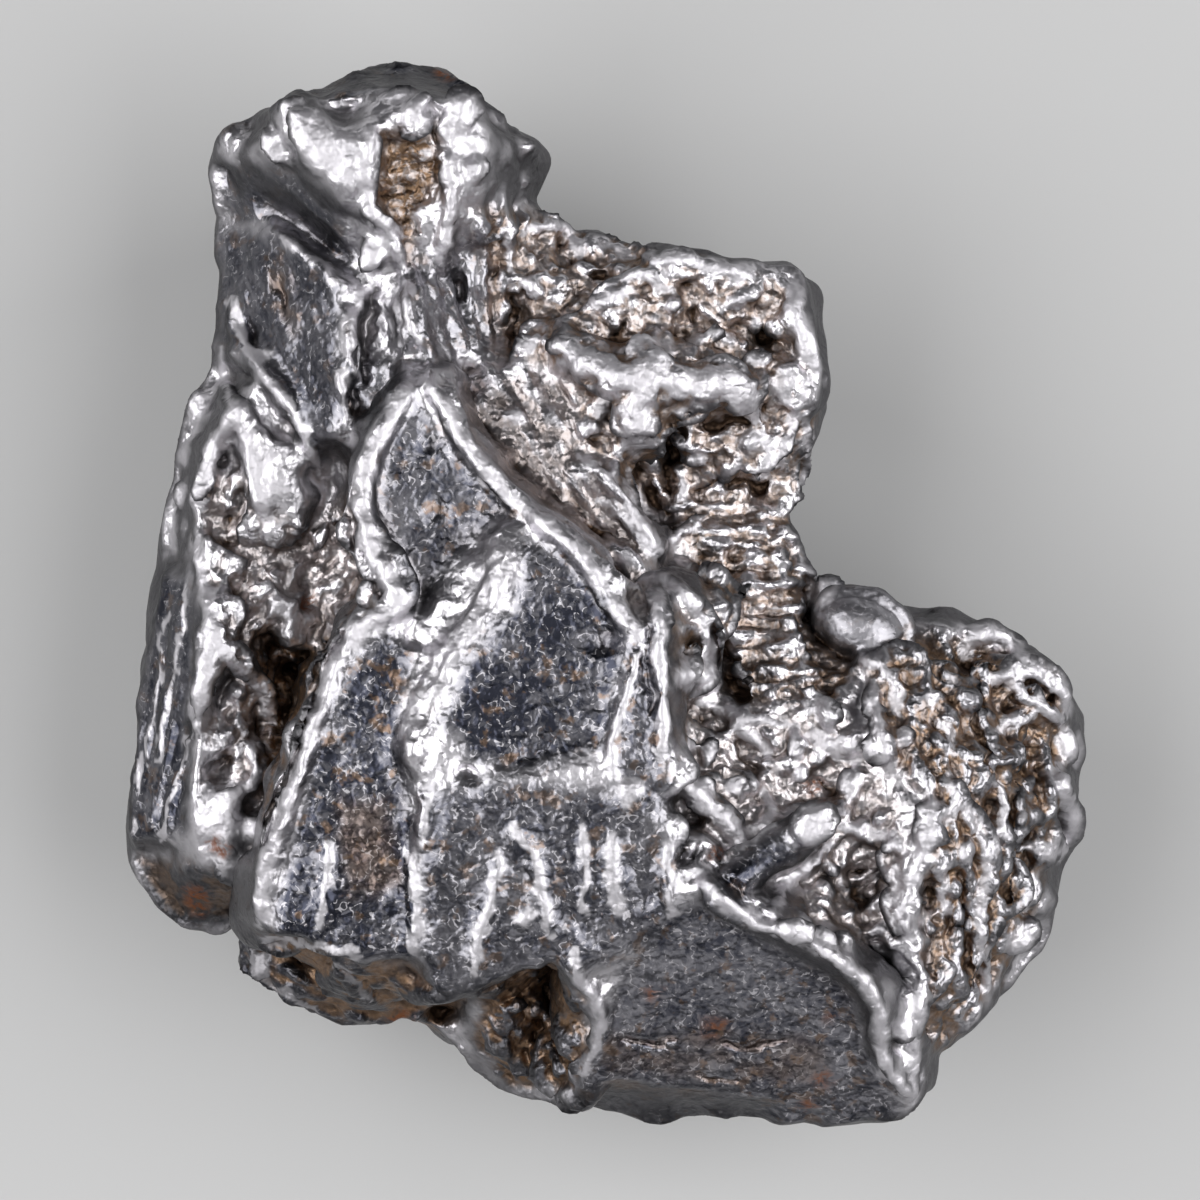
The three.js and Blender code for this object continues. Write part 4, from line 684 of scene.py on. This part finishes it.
def scattered_drops(ground):
    random = np.random.default_rng(DROP_SEED)
    balls = []
    for outline, count, small, large, proud in DROPS:
        corners = np.array(outline)
        low, high = corners.min(axis=0), corners.max(axis=0)
        spots = low + random.random((count * DROP_TRIES, 2)) * (high - low)
        spots = spots[inside(spots, outline, DROP_BLUR) > 0.5][:count]
        for x, y in spots:
            long = small + (large - small) * random.random() ** 2
            wide = long * (DROP_NARROWEST + DROP_WIDENING * random.random())
            lift = proud * (DROP_LOWEST + DROP_RISING * random.random())
            balls.append(lump_ball(x, y, long, wide, lift, 180 * random.random(), ground))
    return balls


def joined(pieces):
    """Several meshes, each points and faces, as one."""
    points = []
    faces = []
    count = 0
    for piece_points, piece_faces in pieces:
        points.append(piece_points)
        faces.extend(tuple(count + i for i in face) for face in piece_faces)
        count += len(piece_points)
    return np.vstack(points), faces


def spread(values, edges, passes):
    """Values averaged with their neighbours again and again."""
    a, b = edges.T
    count = len(values)
    degree = np.bincount(a, minlength=count) + np.bincount(b, minlength=count)
    for _ in range(passes):
        total = np.bincount(a, values[b], count) + np.bincount(b, values[a], count)
        values = 0.5 * values + 0.5 * total / degree
    return values


def softened(mesh, passes):
    points = points_of(mesh)
    edges = edges_of(mesh)
    return np.column_stack([spread(points[:, i], edges, passes) for i in range(3)])


FACET_BLUR = 0.35
FACET_LEVEL = 65
FACET_LOWERED = 1.2


def flatten_facets(mesh):
    """Draws each facet towards a plane through its own higher parts."""
    points = points_of(mesh)
    spots = points[:, :2]
    facing = facing_up(mesh, FACET_SLOPES)
    for outline, rise_x, rise_y, sunk, share, raised in FACETS:
        weight = inside(spots, outline, FACET_BLUR) * facing
        plane = spots @ np.array([rise_x, rise_y])
        level = np.percentile((points[:, 2] - plane)[weight > 0.5], FACET_LEVEL)
        plane += level - sunk
        points[:, 2] += share * weight * np.clip(plane - points[:, 2], -FACET_LOWERED, raised)
    set_points(mesh, points)


GAP_LEVEL = 75
GAP_SUNK = 0.2


def fill_gaps(mesh):
    """Raises the floor of each closed gap to just below the surface round it."""
    points = points_of(mesh)
    open_above = facing_up(mesh, GAP_SLOPES)
    for outline in FILLED_AREAS:
        weight = inside(points[:, :2], outline) * open_above
        level = np.percentile(points[weight > 0.5, 2], GAP_LEVEL) - GAP_SUNK
        points[:, 2] += weight * np.maximum(level - points[:, 2], 0)
    set_points(mesh, points)


PIT_SOFTENING = 0.65
PIT_PASSES = 40
PIT_BEND = 0.7


def loosen_pits(mesh):
    """Softens the plain pits of the solid in the rough areas and bends them out of round."""
    points = points_of(mesh)
    facing = facing_up(mesh, PIT_SLOPES)
    weight = inside_any(points[:, :2], ROUGH_AREAS)
    points += PIT_SOFTENING * weight[:, None] * (softened(mesh, PIT_PASSES) - points)
    bend = np.column_stack([waves(points, 1.0, 71), waves(points, 1.0, 77)])
    points[:, :2] += PIT_BEND * (weight * facing)[:, None] * bend
    set_points(mesh, points)


def raised_surface(base):
    """The solid with its ridges, lumps and drops fused on."""
    ground = ground_finder(base)
    pieces = [(points_of(base), [tuple(p.vertices) for p in base.polygons])]
    for number, (radius, lift, path) in enumerate(RIDGES + RODS):
        pieces.append(ridge_tube(radius, lift, path, ground, number * RIDGE_SEEDS))
    balls = [lump_ball(*lump, ground) for lump in LUMPS]
    balls += [lump_ball(*knob, ground, KNOB_TALL) for knob in KNOBS]
    balls += scattered_drops(ground)
    pieces.extend(ball for ball in balls if ball is not None)
    return modified(mesh_from(*joined(pieces)), remesh(FINE_VOXEL), smooth(FUSED_SMOOTHING))


RAGGED_SIZE = 0.4
RAGGED_REACH = 0.22
GROOVE_STEP = 0.2
GROOVE_DEPTH = 0.7
PIT_DEPTH = 0.55


def ragged(points):
    """Places on the face, shifted a little at random so that outlines drawn with them are ragged."""
    shift = np.column_stack([waves(points, RAGGED_SIZE, 51), waves(points, RAGGED_SIZE, 57)])
    return points[:, :2] + RAGGED_REACH * shift


def cut_in(points, facing):
    """Grooves, cracks and pits sunk into the face."""
    spots = ragged(points)
    sink = np.zeros(len(points))
    for half_width, depth, path in GROOVES:
        line = spline(path, GROOVE_STEP)
        close = near(spots, line, half_width)
        share = np.clip(distance_to_line(spots[close], line) / half_width, 0, 1)
        sink[close] = np.maximum(sink[close], GROOVE_DEPTH * depth * (1 - share ** 2))
    for x, y, long, wide, depth, turn in PITS:
        share = np.clip(oval_share(spots, x, y, long, wide, turn), 0, 1)
        sink = np.maximum(sink, PIT_DEPTH * depth * (1 - share) ** 2)
    points[:, 2] -= sink * facing


def streaks(points, turn, long, wide, seed):
    """Noise drawn out in one direction on the face."""
    cos, sin = math.cos(math.radians(turn)), math.sin(math.radians(turn))
    along = points[:, 0] * cos + points[:, 1] * sin
    beside = points[:, 1] * cos - points[:, 0] * sin
    return waves(np.column_stack([along / long, beside / wide, points[:, 2] / long]), 1.0, seed)


FORM_STEP = 0.4
FORM_REACH = 1.4
RIDGE_RIM = (0.5, 0.95)
LUMP_RIM = (0.6, 1.0)
LUMP_SHARE = 0.8


def on_forms(spots):
    """1 on the ridges, a little less on the lumps, 0 away from them."""
    share = np.zeros(len(spots))
    for radius, _, path in RIDGES:
        line = spline(path, FORM_STEP)
        close = near(spots, line, FORM_REACH * radius)
        away = distance_to_line(spots[close], line) / radius
        share[close] = np.maximum(share[close], 1 - ease(away, *RIDGE_RIM))
    for x, y, long, wide, _, turn in LUMPS:
        away = np.sqrt(oval_share(spots, x, y, long, wide, turn))
        share = np.maximum(share, LUMP_SHARE * (1 - ease(away, *LUMP_RIM)))
    return share


# Grain: sizes and heights of its waves, how much of it the forms, calm areas and plates lose
FINE_SIZE, FINE_HEIGHT = 0.2, 0.05
MIDDLE_SIZE, MIDDLE_HEIGHT = 0.45, 0.06
FOLD_SIZE, FOLD_HEIGHT = 0.8, 0.30
CREASE_SIZE, CREASE_HEIGHT = 0.33, 0.18
FOLD_LEVEL = 0.2
FORM_LOSS = 0.85
CALM_LOSS = 0.75
PLATE_LOSS = 0.7
STREAK_SEEDS = 7.0


def grain(points, normals, facing):
    """Flutes, wrinkles and hammered texture, by area."""
    spots = ragged(points)
    loose = 1 - FORM_LOSS * on_forms(spots)
    fine = waves(points, FINE_SIZE, 3)
    middle = waves(points, MIDDLE_SIZE, 11)
    folds = np.abs(waves(points, FOLD_SIZE, 5)) - FOLD_LEVEL
    creases = np.abs(waves(points, CREASE_SIZE, 9)) - FOLD_LEVEL
    calm = inside_any(spots, CALM_AREAS)
    rough = inside_any(spots, ROUGH_AREAS)
    plates = inside_any(spots, PLATE_AREAS)
    even = np.minimum(1 - CALM_LOSS * calm, 1 - PLATE_LOSS * plates)
    push = even * (FINE_HEIGHT * fine + MIDDLE_HEIGHT * middle)
    push += rough * loose * (FOLD_HEIGHT * folds + CREASE_HEIGHT * creases)
    for number, (area, turn, long, wide, height) in enumerate(STREAKS):
        weight = inside(spots, area)
        close = np.where(weight > 0)[0]
        relief = height * streaks(points[close], turn, long, wide, STREAK_SEEDS * number)
        push[close] += weight[close] * loose[close] * relief
    points += normals * (facing * push)[:, None]


# Sides: heights between which their weathering sets in, sizes and heights of its forms
SIDE_FOOT = (0.25, 1.6)
THUMB_SIZE, THUMB_HEIGHT, THUMB_LEVEL = 3.4, 0.75, 0.45
SIDE_LUMP_SIZE, SIDE_LUMP_HEIGHT = 1.8, 0.25
SIDE_KNOB_SIZE, SIDE_KNOB_HEIGHT = 0.7, 0.12


def weather_sides(points, normals, facing):
    """Hollows and lumps on the sides below the face."""
    side = (1 - facing) * ease(points[:, 2], *SIDE_FOOT)
    thumbprints = cells(points, THUMB_SIZE, 2) - THUMB_LEVEL
    lumps = waves(points, SIDE_LUMP_SIZE, 23)
    knobs = waves(points, SIDE_KNOB_SIZE, 29)
    push = THUMB_HEIGHT * thumbprints + SIDE_LUMP_HEIGHT * lumps + SIDE_KNOB_HEIGHT * knobs
    points += normals * (side * push)[:, None]
    points[:, 2] = np.maximum(points[:, 2], 0)


def linked_verts(start, unseen):
    """All the vertices joined to the first one, taken out of the unseen ones."""
    found = []
    waiting = [start]
    while waiting:
        vert = waiting.pop()
        found.append(vert)
        for edge in vert.link_edges:
            other = edge.other_vert(vert)
            if other in unseen:
                unseen.remove(other)
                waiting.append(other)
    return found


def drop_scraps(mesh):
    """Removes what isn't joined to the largest piece of the mesh."""
    work = bmesh.new()
    work.from_mesh(mesh)
    unseen = set(work.verts)
    groups = []
    while unseen:
        groups.append(linked_verts(unseen.pop(), unseen))
    groups.sort(key=len)
    for group in groups[:-1]:
        bmesh.ops.delete(work, geom=group, context="VERTS")
    work.to_mesh(mesh)
    work.free()


def finished_mesh(node):
    base = modified(solid_in_mm(node), remesh(COARSE_VOXEL), smooth(BASE_SMOOTHING))
    loosen_pits(base)
    fill_gaps(base)
    flatten_facets(base)
    mesh = raised_surface(base)
    points = points_of(mesh)
    facing = facing_up(mesh, FACE_SLOPES)
    cut_in(points, facing)
    set_points(mesh, points)
    normals = normals_of(mesh)
    grain(points, normals, facing)
    weather_sides(points, normals, facing)
    set_points(mesh, points)
    mesh = modified(mesh, smooth(*LAST_SMOOTHING))
    mesh.calc_loop_triangles()
    share = min(1.0, TRIANGLES / len(mesh.loop_triangles))
    mesh = modified(mesh, decimate(share))
    drop_scraps(mesh)
    return mesh


# Colour masks kept on the vertices: areas with their strengths, rust spots with their reach

BROWN_AREAS = [
    (WINDOW, 0.9), (UPPER_BLOCK, 0.65), (LEDGES, 0.7), (FIELD, 0.36), (RIB_BLOCK, 0.8),
    (LEFT_CAVITY, 0.38), (TOE, 0.8), (HEEL, 0.9), (SLOPE, 0.4), (LOOP, 0.9), (CAVITY_PIT, 0.95),
    (LEFT_FOOT, 0.4), (SLIT, 0.5), (STAINED_STRIP, 0.4), (STAINED_WEDGE, 0.35),
]
# Dark mask, partly tarnish and partly painted shade: these plates are darkened towards dark iron to stand
# in for their dim reflections
DARK_AREAS = [
    (MIDDLE_FACET, 1.0), (WEDGE, 0.86), (LEFT_STRIP, 1.0), (ARCH, 0.87), (LOW_PLATE, 0.84),
    (HEAD_CAP, 0.95), (FOLD, 0.82), (SHOULDER, 0.84), (LEFT_FACE, 0.9), (TOE, 1.0), (HEEL, 0.8),
    (RIB_BLOCK, 0.45), (RIGHT_STRIP, 0.85), (ROD_BODY, 0.9), (KNOB, 0.62), (SLOPE, 0.32),
    (DRAPE, 0.6), (NECK, 0.7), (LEFT_FOOT, 0.9),
]
# Painted shadow: areas under edges and overhangs darkened towards the crust colour by these strengths
SHADED_AREAS = [
    (TOE, 0.6), (HEEL, 0.3), (LEFT_FOOT, 1.0), (HEEL_SIDE, 0.8), (WEDGE_RIM, 0.9),
    (PLATE_SIDE, 0.9), (UNDER_EDGE, 0.8),
]
LIT_AREAS = [(SLOPE_SIDE, 0.7), (DRAPE, 0.6)]
# Painted highlight with wear: areas kept bright like the worn forms, by these strengths
WORN_AND_HIGHLIGHT_AREAS = [
    (HEAD_LOBE, 1.0), (HEAD_RIGHT, 0.7), (BAND, 0.7), (SPLIT_FACET, 0.7), (CRYSTAL, 0.7),
    (KNOB, 0.35), (FOOT_FACET, 0.8),
]
RUST_SPOTS = [
    (2.6, 6.9, 0.3), (5.0, 8.4, 0.3), (-3.95, 25.9, 0.3), (4.9, 0.6, 0.25), (5.35, 2.8, 0.25),
    (-5.1, 2.5, 0.4), (2.6, 2.6, 0.45), (5.3, 1.2, 0.35), (1.1, 3.4, 0.3), (-10.2, 5.5, 0.5),
    (-9.5, 6.9, 0.35), (-7.3, 12.9, 0.3),
]
MASK_SLOPES = (-0.1, 0.35)
STEEP_SLOPES = (0.42, 0.76)
STEEP_PASSES = 4
HOLLOW_GAIN, HOLLOW_PASSES = 4.0, 14
RECESS_GAIN, RECESS_PASSES = 1.2, 120
RUST_RIM = (0.35, 1.0)
# Share of the dark mask on the sides below the face: painted shade against their bright reflections, partly
# tarnish
SIDE_TARNISH_AND_SHADE = 0.85
FORM_LIT = 0.6


def hollowness(mesh, passes):
    """How far a vertex lies below the smoothed surface, in millimetres."""
    below = softened(mesh, passes) - points_of(mesh)
    return np.einsum("ij,ij->i", below, normals_of(mesh))


def add_mask(mesh, name, values):
    mask = mesh.attributes.new(name, "FLOAT", "POINT")
    mask.data.foreach_set("value", np.clip(values, 0, 1).astype(np.float32))


def strongest(spots, shares):
    return np.maximum.reduce([share * inside(spots, area) for area, share in shares])


def paint_masks(mesh):
    points = points_of(mesh)
    facing = facing_up(mesh, MASK_SLOPES)
    spots = ragged(points)
    add_mask(mesh, "hollow", 0.5 + HOLLOW_GAIN * hollowness(mesh, HOLLOW_PASSES))
    add_mask(mesh, "recess", 0.5 + RECESS_GAIN * hollowness(mesh, RECESS_PASSES))
    add_mask(mesh, "brown", facing * strongest(spots, BROWN_AREAS))
    # Painted shade with tarnish: the sides and the listed plates made darker
    add_mask(mesh, "dark", SIDE_TARNISH_AND_SHADE * (1 - facing) + facing * strongest(spots, DARK_AREAS))
    upward = spread(normals_of(mesh)[:, 2], edges_of(mesh), STEEP_PASSES)
    # Painted highlight with wear: ridges, lumps and the listed areas kept bright and clear of the dark mask
    form = facing * np.maximum(on_forms(spots), strongest(spots, WORN_AND_HIGHLIGHT_AREAS))
    open_to_light = np.maximum(FORM_LIT * form, strongest(spots, LIT_AREAS))
    # Painted shade, partly crust: steep slopes darkened unless open to light, together with the shaded
    # areas
    crust_and_shade = (1 - ease(upward, *STEEP_SLOPES)) * (1 - open_to_light)
    add_mask(mesh, "crust_and_shade", np.maximum(crust_and_shade, strongest(spots, SHADED_AREAS)))
    add_mask(mesh, "calm", facing * inside_any(spots, CALM_AREAS))
    rust = np.zeros(len(points))
    for x, y, reach in RUST_SPOTS:
        away = np.linalg.norm(spots - np.array([x, y]), axis=1)
        rust = np.maximum(rust, 1 - ease(away / reach, *RUST_RIM))
    add_mask(mesh, "rust", facing * rust)
    add_mask(mesh, "form", form)


# Materials

class Nodes:
    """Short ways to add nodes to one material or world."""

    def __init__(self, owner):
        owner.use_nodes = True
        self.tree = owner.node_tree
        self.tree.nodes.clear()

    def add(self, kind, inputs=None, **settings):
        node = self.tree.nodes.new(kind)
        for name, value in settings.items():
            setattr(node, name, value)
        for name, value in (inputs or {}).items():
            self.set(node.inputs[name], value)
        return node

    def set(self, socket, value):
        if isinstance(value, bpy.types.NodeSocket):
            self.tree.links.new(value, socket)
        else:
            socket.default_value = value

    def math(self, operation, first, *others):
        """The values put together one after another, such as a sum or a product."""
        for value in others:
            node = self.add("ShaderNodeMath", operation=operation)
            self.set(node.inputs[0], first)
            self.set(node.inputs[1], value)
            first = node.outputs[0]
        return first

    def times(self, *values):
        return self.math("MULTIPLY", *values)

    def plus(self, *values):
        return self.math("ADD", *values)

    def vector(self, operation, first, second=None):
        node = self.add("ShaderNodeVectorMath", operation=operation)
        self.set(node.inputs[0], first)
        if operation == "SCALE":
            self.set(node.inputs["Scale"], second)
        elif second is not None:
            self.set(node.inputs[1], second)
        return node.outputs["Vector"]

    def mask(self, name):
        return self.add("ShaderNodeAttribute", attribute_name=name).outputs["Fac"]

    def ramp(self, value, start, end, low=0.0, high=1.0):
        node = self.add("ShaderNodeMapRange", interpolation_type="SMOOTHSTEP", inputs={
            "Value": value, "From Min": start, "From Max": end, "To Min": low, "To Max": high})
        return node.outputs["Result"]

    def fade(self, mask, low, high):
        """From one value where a mask is 0 to another where it is 1."""
        return self.ramp(mask, 0.0, 1.0, low, high)

    def mix(self, share, first, second):
        node = self.add("ShaderNodeMixRGB", inputs={"Fac": share, "Color1": first, "Color2": second})
        return node.outputs["Color"]

    def noise(self, where, scale, detail, rough=0.5, output="Fac"):
        node = self.add("ShaderNodeTexNoise", inputs={
            "Vector": where, "Scale": scale, "Detail": detail, "Roughness": rough})
        return node.outputs[output]


BRIGHT_IRON = (0.74, 0.72, 0.755, 1)
# Dark iron carries the tarnish and the painted shade of the dark mask
DARK_IRON = (0.050, 0.053, 0.072, 1)
BROWN_FILM = (0.25, 0.16, 0.10, 1)
# Near-black film in creases, partly patina and partly painted shade
DEEP_FILM_AND_SHADE = (0.05, 0.032, 0.022, 1)
# Crust colour, also the painted shade of steep slopes and shaded areas
CRUST_AND_SHADE_TINT = (0.055, 0.054, 0.058, 1)
RUST = (0.28, 0.10, 0.04, 1)
FLOOR_TINT = (0.55, 0.55, 0.55, 1)
FLOOR_ROUGH = 0.85

# Patterns of the metal, in repeats to a millimetre
FLOW_SCALE = 1.8
SPECK_SCALE = 4.6
CLOUD_SCALE = 0.7
STROKE_SCALE = 3.4
STAIN_SCALE = 1.9
WRINKLE_SCALE = 2.6
DENT_SCALE = 4.5
FLAKE_SCALE = 4.0
RIPPLE_SCALE = 5.0

# Fine relief in the shading: how far the patterns bend, height of the bumps in millimetres, how
# strong bumps and tilted flakes are on bare metal and how much more under the brown film
FLOW_REACH = 0.8
BUMP_HEIGHT = 0.06
BUMP_BARE, BUMP_FILM = 0.5, 0.4
FLAKE_BARE, FLAKE_FILM = 0.08, 0.15

# Roughness of bare metal and brown film, and what rust, the dark mask of tarnish and painted shade, the
# worn forms and the crust mask with painted shade add to it
BARE_ROUGH = 0.34
FILM_ROUGH = 0.40
RUST_ROUGH = 0.25
DARK_ROUGH = -0.04
WORN_ROUGH = 0.2
CRUST_ROUGH = 0.15
# Share of the crust colour with painted shade on steep slopes and shaded areas
CRUST_AND_SHADE_COVER = 0.9


def fine_relief(nodes, where, bent, brown, busy, loose):
    """The direction that the surface faces with its wrinkles, dents and tilted flakes."""
    wrinkles = nodes.ramp(nodes.noise(where, WRINKLE_SCALE, 1.5), 0.42, 0.60)
    dents = nodes.noise(where, DENT_SCALE, 1.0)
    height = nodes.plus(nodes.times(wrinkles, 0.5), nodes.times(dents, 0.8))
    strength = nodes.times(nodes.plus(nodes.times(brown, BUMP_FILM), BUMP_BARE), busy)
    bump = nodes.add("ShaderNodeBump", inputs={
        "Strength": strength, "Distance": BUMP_HEIGHT * MM, "Height": height})
    flakes = nodes.add("ShaderNodeTexVoronoi", inputs={"Vector": bent, "Scale": FLAKE_SCALE})
    ripple = nodes.noise(bent, RIPPLE_SCALE, 1.0, output="Color")
    tilt = nodes.vector("ADD", flakes.outputs["Color"], nodes.vector("SCALE", ripple, 2.0))
    tilt = nodes.vector("SUBTRACT", tilt, (1.5, 1.5, 1.5))
    crumple = nodes.times(nodes.plus(nodes.times(brown, FLAKE_FILM), FLAKE_BARE), busy)
    tilt = nodes.vector("SCALE", tilt, nodes.times(crumple, nodes.fade(loose, 0.6, 1.0)))
    return nodes.vector("NORMALIZE", nodes.vector("ADD", bump.outputs["Normal"], tilt))


def iron_material():
    """Metal that is bright on the worn forms with painted highlight, dark and stroked on the plates with
    tarnish and painted shade, brown in hollows, with painted shade in creases and on steep sides.
    """
    material = bpy.data.materials.new("meteoritic_iron")
    nodes = Nodes(material)
    place = nodes.add("ShaderNodeTexCoord").outputs["Object"]
    where = nodes.vector("SCALE", place, 1 / MM)
    flow = nodes.noise(where, FLOW_SCALE, 2.0, output="Color")
    bent = nodes.vector("ADD", where, nodes.vector("SCALE", flow, FLOW_REACH))
    specks = nodes.noise(bent, SPECK_SCALE, 2.5, 0.6)
    clouds = nodes.noise(where, CLOUD_SCALE, 4.0, 0.6)
    blots = nodes.noise(where, STAIN_SCALE, 3.0, 0.6)
    bends = nodes.math("SUBTRACT", nodes.noise(where, STROKE_SCALE, 1.0), 0.5)
    bends = nodes.math("ABSOLUTE", bends, 0.0)
    hollow = nodes.mask("hollow")
    recess = nodes.mask("recess")
    brown = nodes.mask("brown")
    dark = nodes.mask("dark")
    crust_and_shade = nodes.mask("crust_and_shade")
    calm = nodes.mask("calm")
    form = nodes.mask("form")
    loose = nodes.fade(form, 1.0, 0.0)
    busy = nodes.fade(calm, 1.0, 0.7)

    strokes = nodes.times(nodes.ramp(bends, 0.012, 0.03, 1.0, 0.0), nodes.ramp(specks, 0.50, 0.58), busy)
    speckled = nodes.ramp(specks, 0.34, 0.64, 1.08, nodes.fade(calm, 0.83, 0.93))
    # Painted shade with tarnish: the dark mask turns the metal towards dark iron, less on the forms
    tarnish_and_shade = nodes.times(dark, nodes.ramp(clouds, 0.36, 0.6, 0.87, 1.06), nodes.fade(loose, 0.1, 1.0),
                          speckled, nodes.fade(strokes, 1.0, 0.35))
    metal = nodes.mix(tarnish_and_shade, BRIGHT_IRON, DARK_IRON)
    stains = nodes.times(nodes.ramp(blots, 0.56, 0.66, 0.0, 0.6), dark, nodes.fade(loose, 0.1, 1.0), busy)
    metal = nodes.mix(stains, metal, BROWN_FILM)
    # Painted shade with crust: steep slopes and shaded areas turned to the crust colour
    metal = nodes.mix(nodes.times(crust_and_shade, CRUST_AND_SHADE_COVER), metal, CRUST_AND_SHADE_TINT)
    low = nodes.times(nodes.plus(hollow, recess), 0.5)
    film = nodes.times(nodes.ramp(low, 0.36, 0.52), brown, nodes.ramp(specks, 0.3, 0.65, 0.6, 1.2),
                       nodes.fade(loose, 0.2, 1.0))
    metal = nodes.mix(film, metal, BROWN_FILM)
    # Painted shade with patina: the deepest hollows and recesses darkened to near black, more in the brown
    # areas
    crease_film_and_shade = nodes.plus(nodes.ramp(hollow, 0.58, 0.95, 0.0, 0.7), nodes.ramp(recess, 0.66, 0.95, 0.0, 0.8))
    crease_film_and_shade = nodes.times(crease_film_and_shade, nodes.ramp(brown, 0.0, 0.7, 0.3, 1.0))
    metal = nodes.mix(crease_film_and_shade, metal, DEEP_FILM_AND_SHADE)
    rusty = nodes.times(nodes.mask("rust"), nodes.ramp(specks, 0.35, 0.6, 0.0, 0.8))
    metal = nodes.mix(rusty, metal, RUST)

    worn = nodes.math("MAXIMUM", form, strokes)
    rough = nodes.plus(nodes.ramp(film, 0.1, 0.8, BARE_ROUGH, FILM_ROUGH), nodes.times(rusty, RUST_ROUGH),
                       nodes.times(dark, DARK_ROUGH), nodes.times(worn, WORN_ROUGH),
                       nodes.times(crust_and_shade, CRUST_ROUGH))
    facing = fine_relief(nodes, where, bent, brown, busy, loose)
    shader = nodes.add("ShaderNodeBsdfPrincipled", inputs={
        "Base Color": metal, "Roughness": rough, "Metallic": 1.0, "Normal": facing})
    nodes.add("ShaderNodeOutputMaterial", inputs={"Surface": shader.outputs["BSDF"]})
    return material


def floor_material():
    material = bpy.data.materials.new("pale_floor")
    nodes = Nodes(material)
    shader = nodes.add("ShaderNodeBsdfPrincipled", inputs={
        "Base Color": FLOOR_TINT, "Roughness": FLOOR_ROUGH})
    nodes.add("ShaderNodeOutputMaterial", inputs={"Surface": shader.outputs["BSDF"]})
    return material


# Stage, light and camera

FLOOR_REACH = 1.2
SOFTBOX_AWAY = 200.0

# Lamps: name, direction seen from above and angle from straight up in degrees, size, glow
SOFTBOXES = [
    ("right_softbox", 0, 43, (190, 210), 2.95), ("left_softbox", 180, 43, (190, 210), 2.95),
    ("top_fill", 0, 0, (130, 200), 0.3), ("front_fill", -90, 60, (90, 220), 0.7),
]
ROOM_SHADE = (0.04, 0.04, 0.044, 1)
BACKDROP_SHADE = (0.75, 0.75, 0.75, 1)


def add_object(name, data):
    made = bpy.data.objects.new(name, data)
    bpy.context.scene.collection.objects.link(made)
    return made


def add_floor():
    reach = FLOOR_REACH
    corners = [(-reach, -reach, 0), (reach, -reach, 0), (reach, reach, 0), (-reach, reach, 0)]
    mesh = mesh_from(corners, [(0, 1, 2, 3)])
    mesh.materials.append(floor_material())
    add_object("floor", mesh)


def add_softbox(name, turn, tilt, size, glow):
    """A flat lamp facing the nugget."""
    lamp = bpy.data.lights.new(name, "AREA")
    lamp.shape = "RECTANGLE"
    lamp.size = size[0] * MM
    lamp.size_y = size[1] * MM
    lamp.energy = glow * math.pi * lamp.size * lamp.size_y
    made = add_object(name, lamp)
    made.rotation_euler = (0, math.radians(tilt), math.radians(turn))
    away = made.rotation_euler.to_matrix() @ Vector((0, 0, SOFTBOX_AWAY))
    made.location = (away + Vector((0, 0, VIEW_LEVEL))) * MM


def add_light():
    """The lamps, and a room that is dim in reflections and pale behind the floor."""
    for softbox in SOFTBOXES:
        add_softbox(*softbox)
    world = bpy.data.worlds.new("studio")
    bpy.context.scene.world = world
    nodes = Nodes(world)
    seen = nodes.add("ShaderNodeLightPath").outputs["Is Camera Ray"]
    shade = nodes.mix(seen, ROOM_SHADE, BACKDROP_SHADE)
    back = nodes.add("ShaderNodeBackground", inputs={"Color": shade})
    nodes.add("ShaderNodeOutputWorld", inputs={"Surface": back.outputs["Background"]})


def add_camera():
    camera = bpy.data.cameras.new("camera")
    camera.lens = LENS
    camera.sensor_width = SENSOR
    camera.clip_start, camera.clip_end = CLIP
    made = add_object("camera", camera)
    away = VIEW_WIDTH * LENS / SENSOR
    made.location = Vector((VIEW_CENTRE[0], VIEW_CENTRE[1], VIEW_LEVEL + away)) * MM
    bpy.context.scene.camera = made


def add_meteorite():
    mesh = finished_mesh(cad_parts["meteorite"])
    paint_masks(mesh)
    set_points(mesh, (points_of(mesh) + SHIFT) * MM)
    mesh.polygons.foreach_set("use_smooth", np.ones(len(mesh.polygons), bool))
    mesh.materials.clear()
    mesh.materials.append(iron_material())
    piece = add_object("meteorite_surface", mesh)
    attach(piece, "root")
    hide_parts("meteorite")
    return piece


piece = add_meteorite()
add_floor()
add_light()
add_camera()
bpy.context.scene.view_settings.view_transform = "Standard"
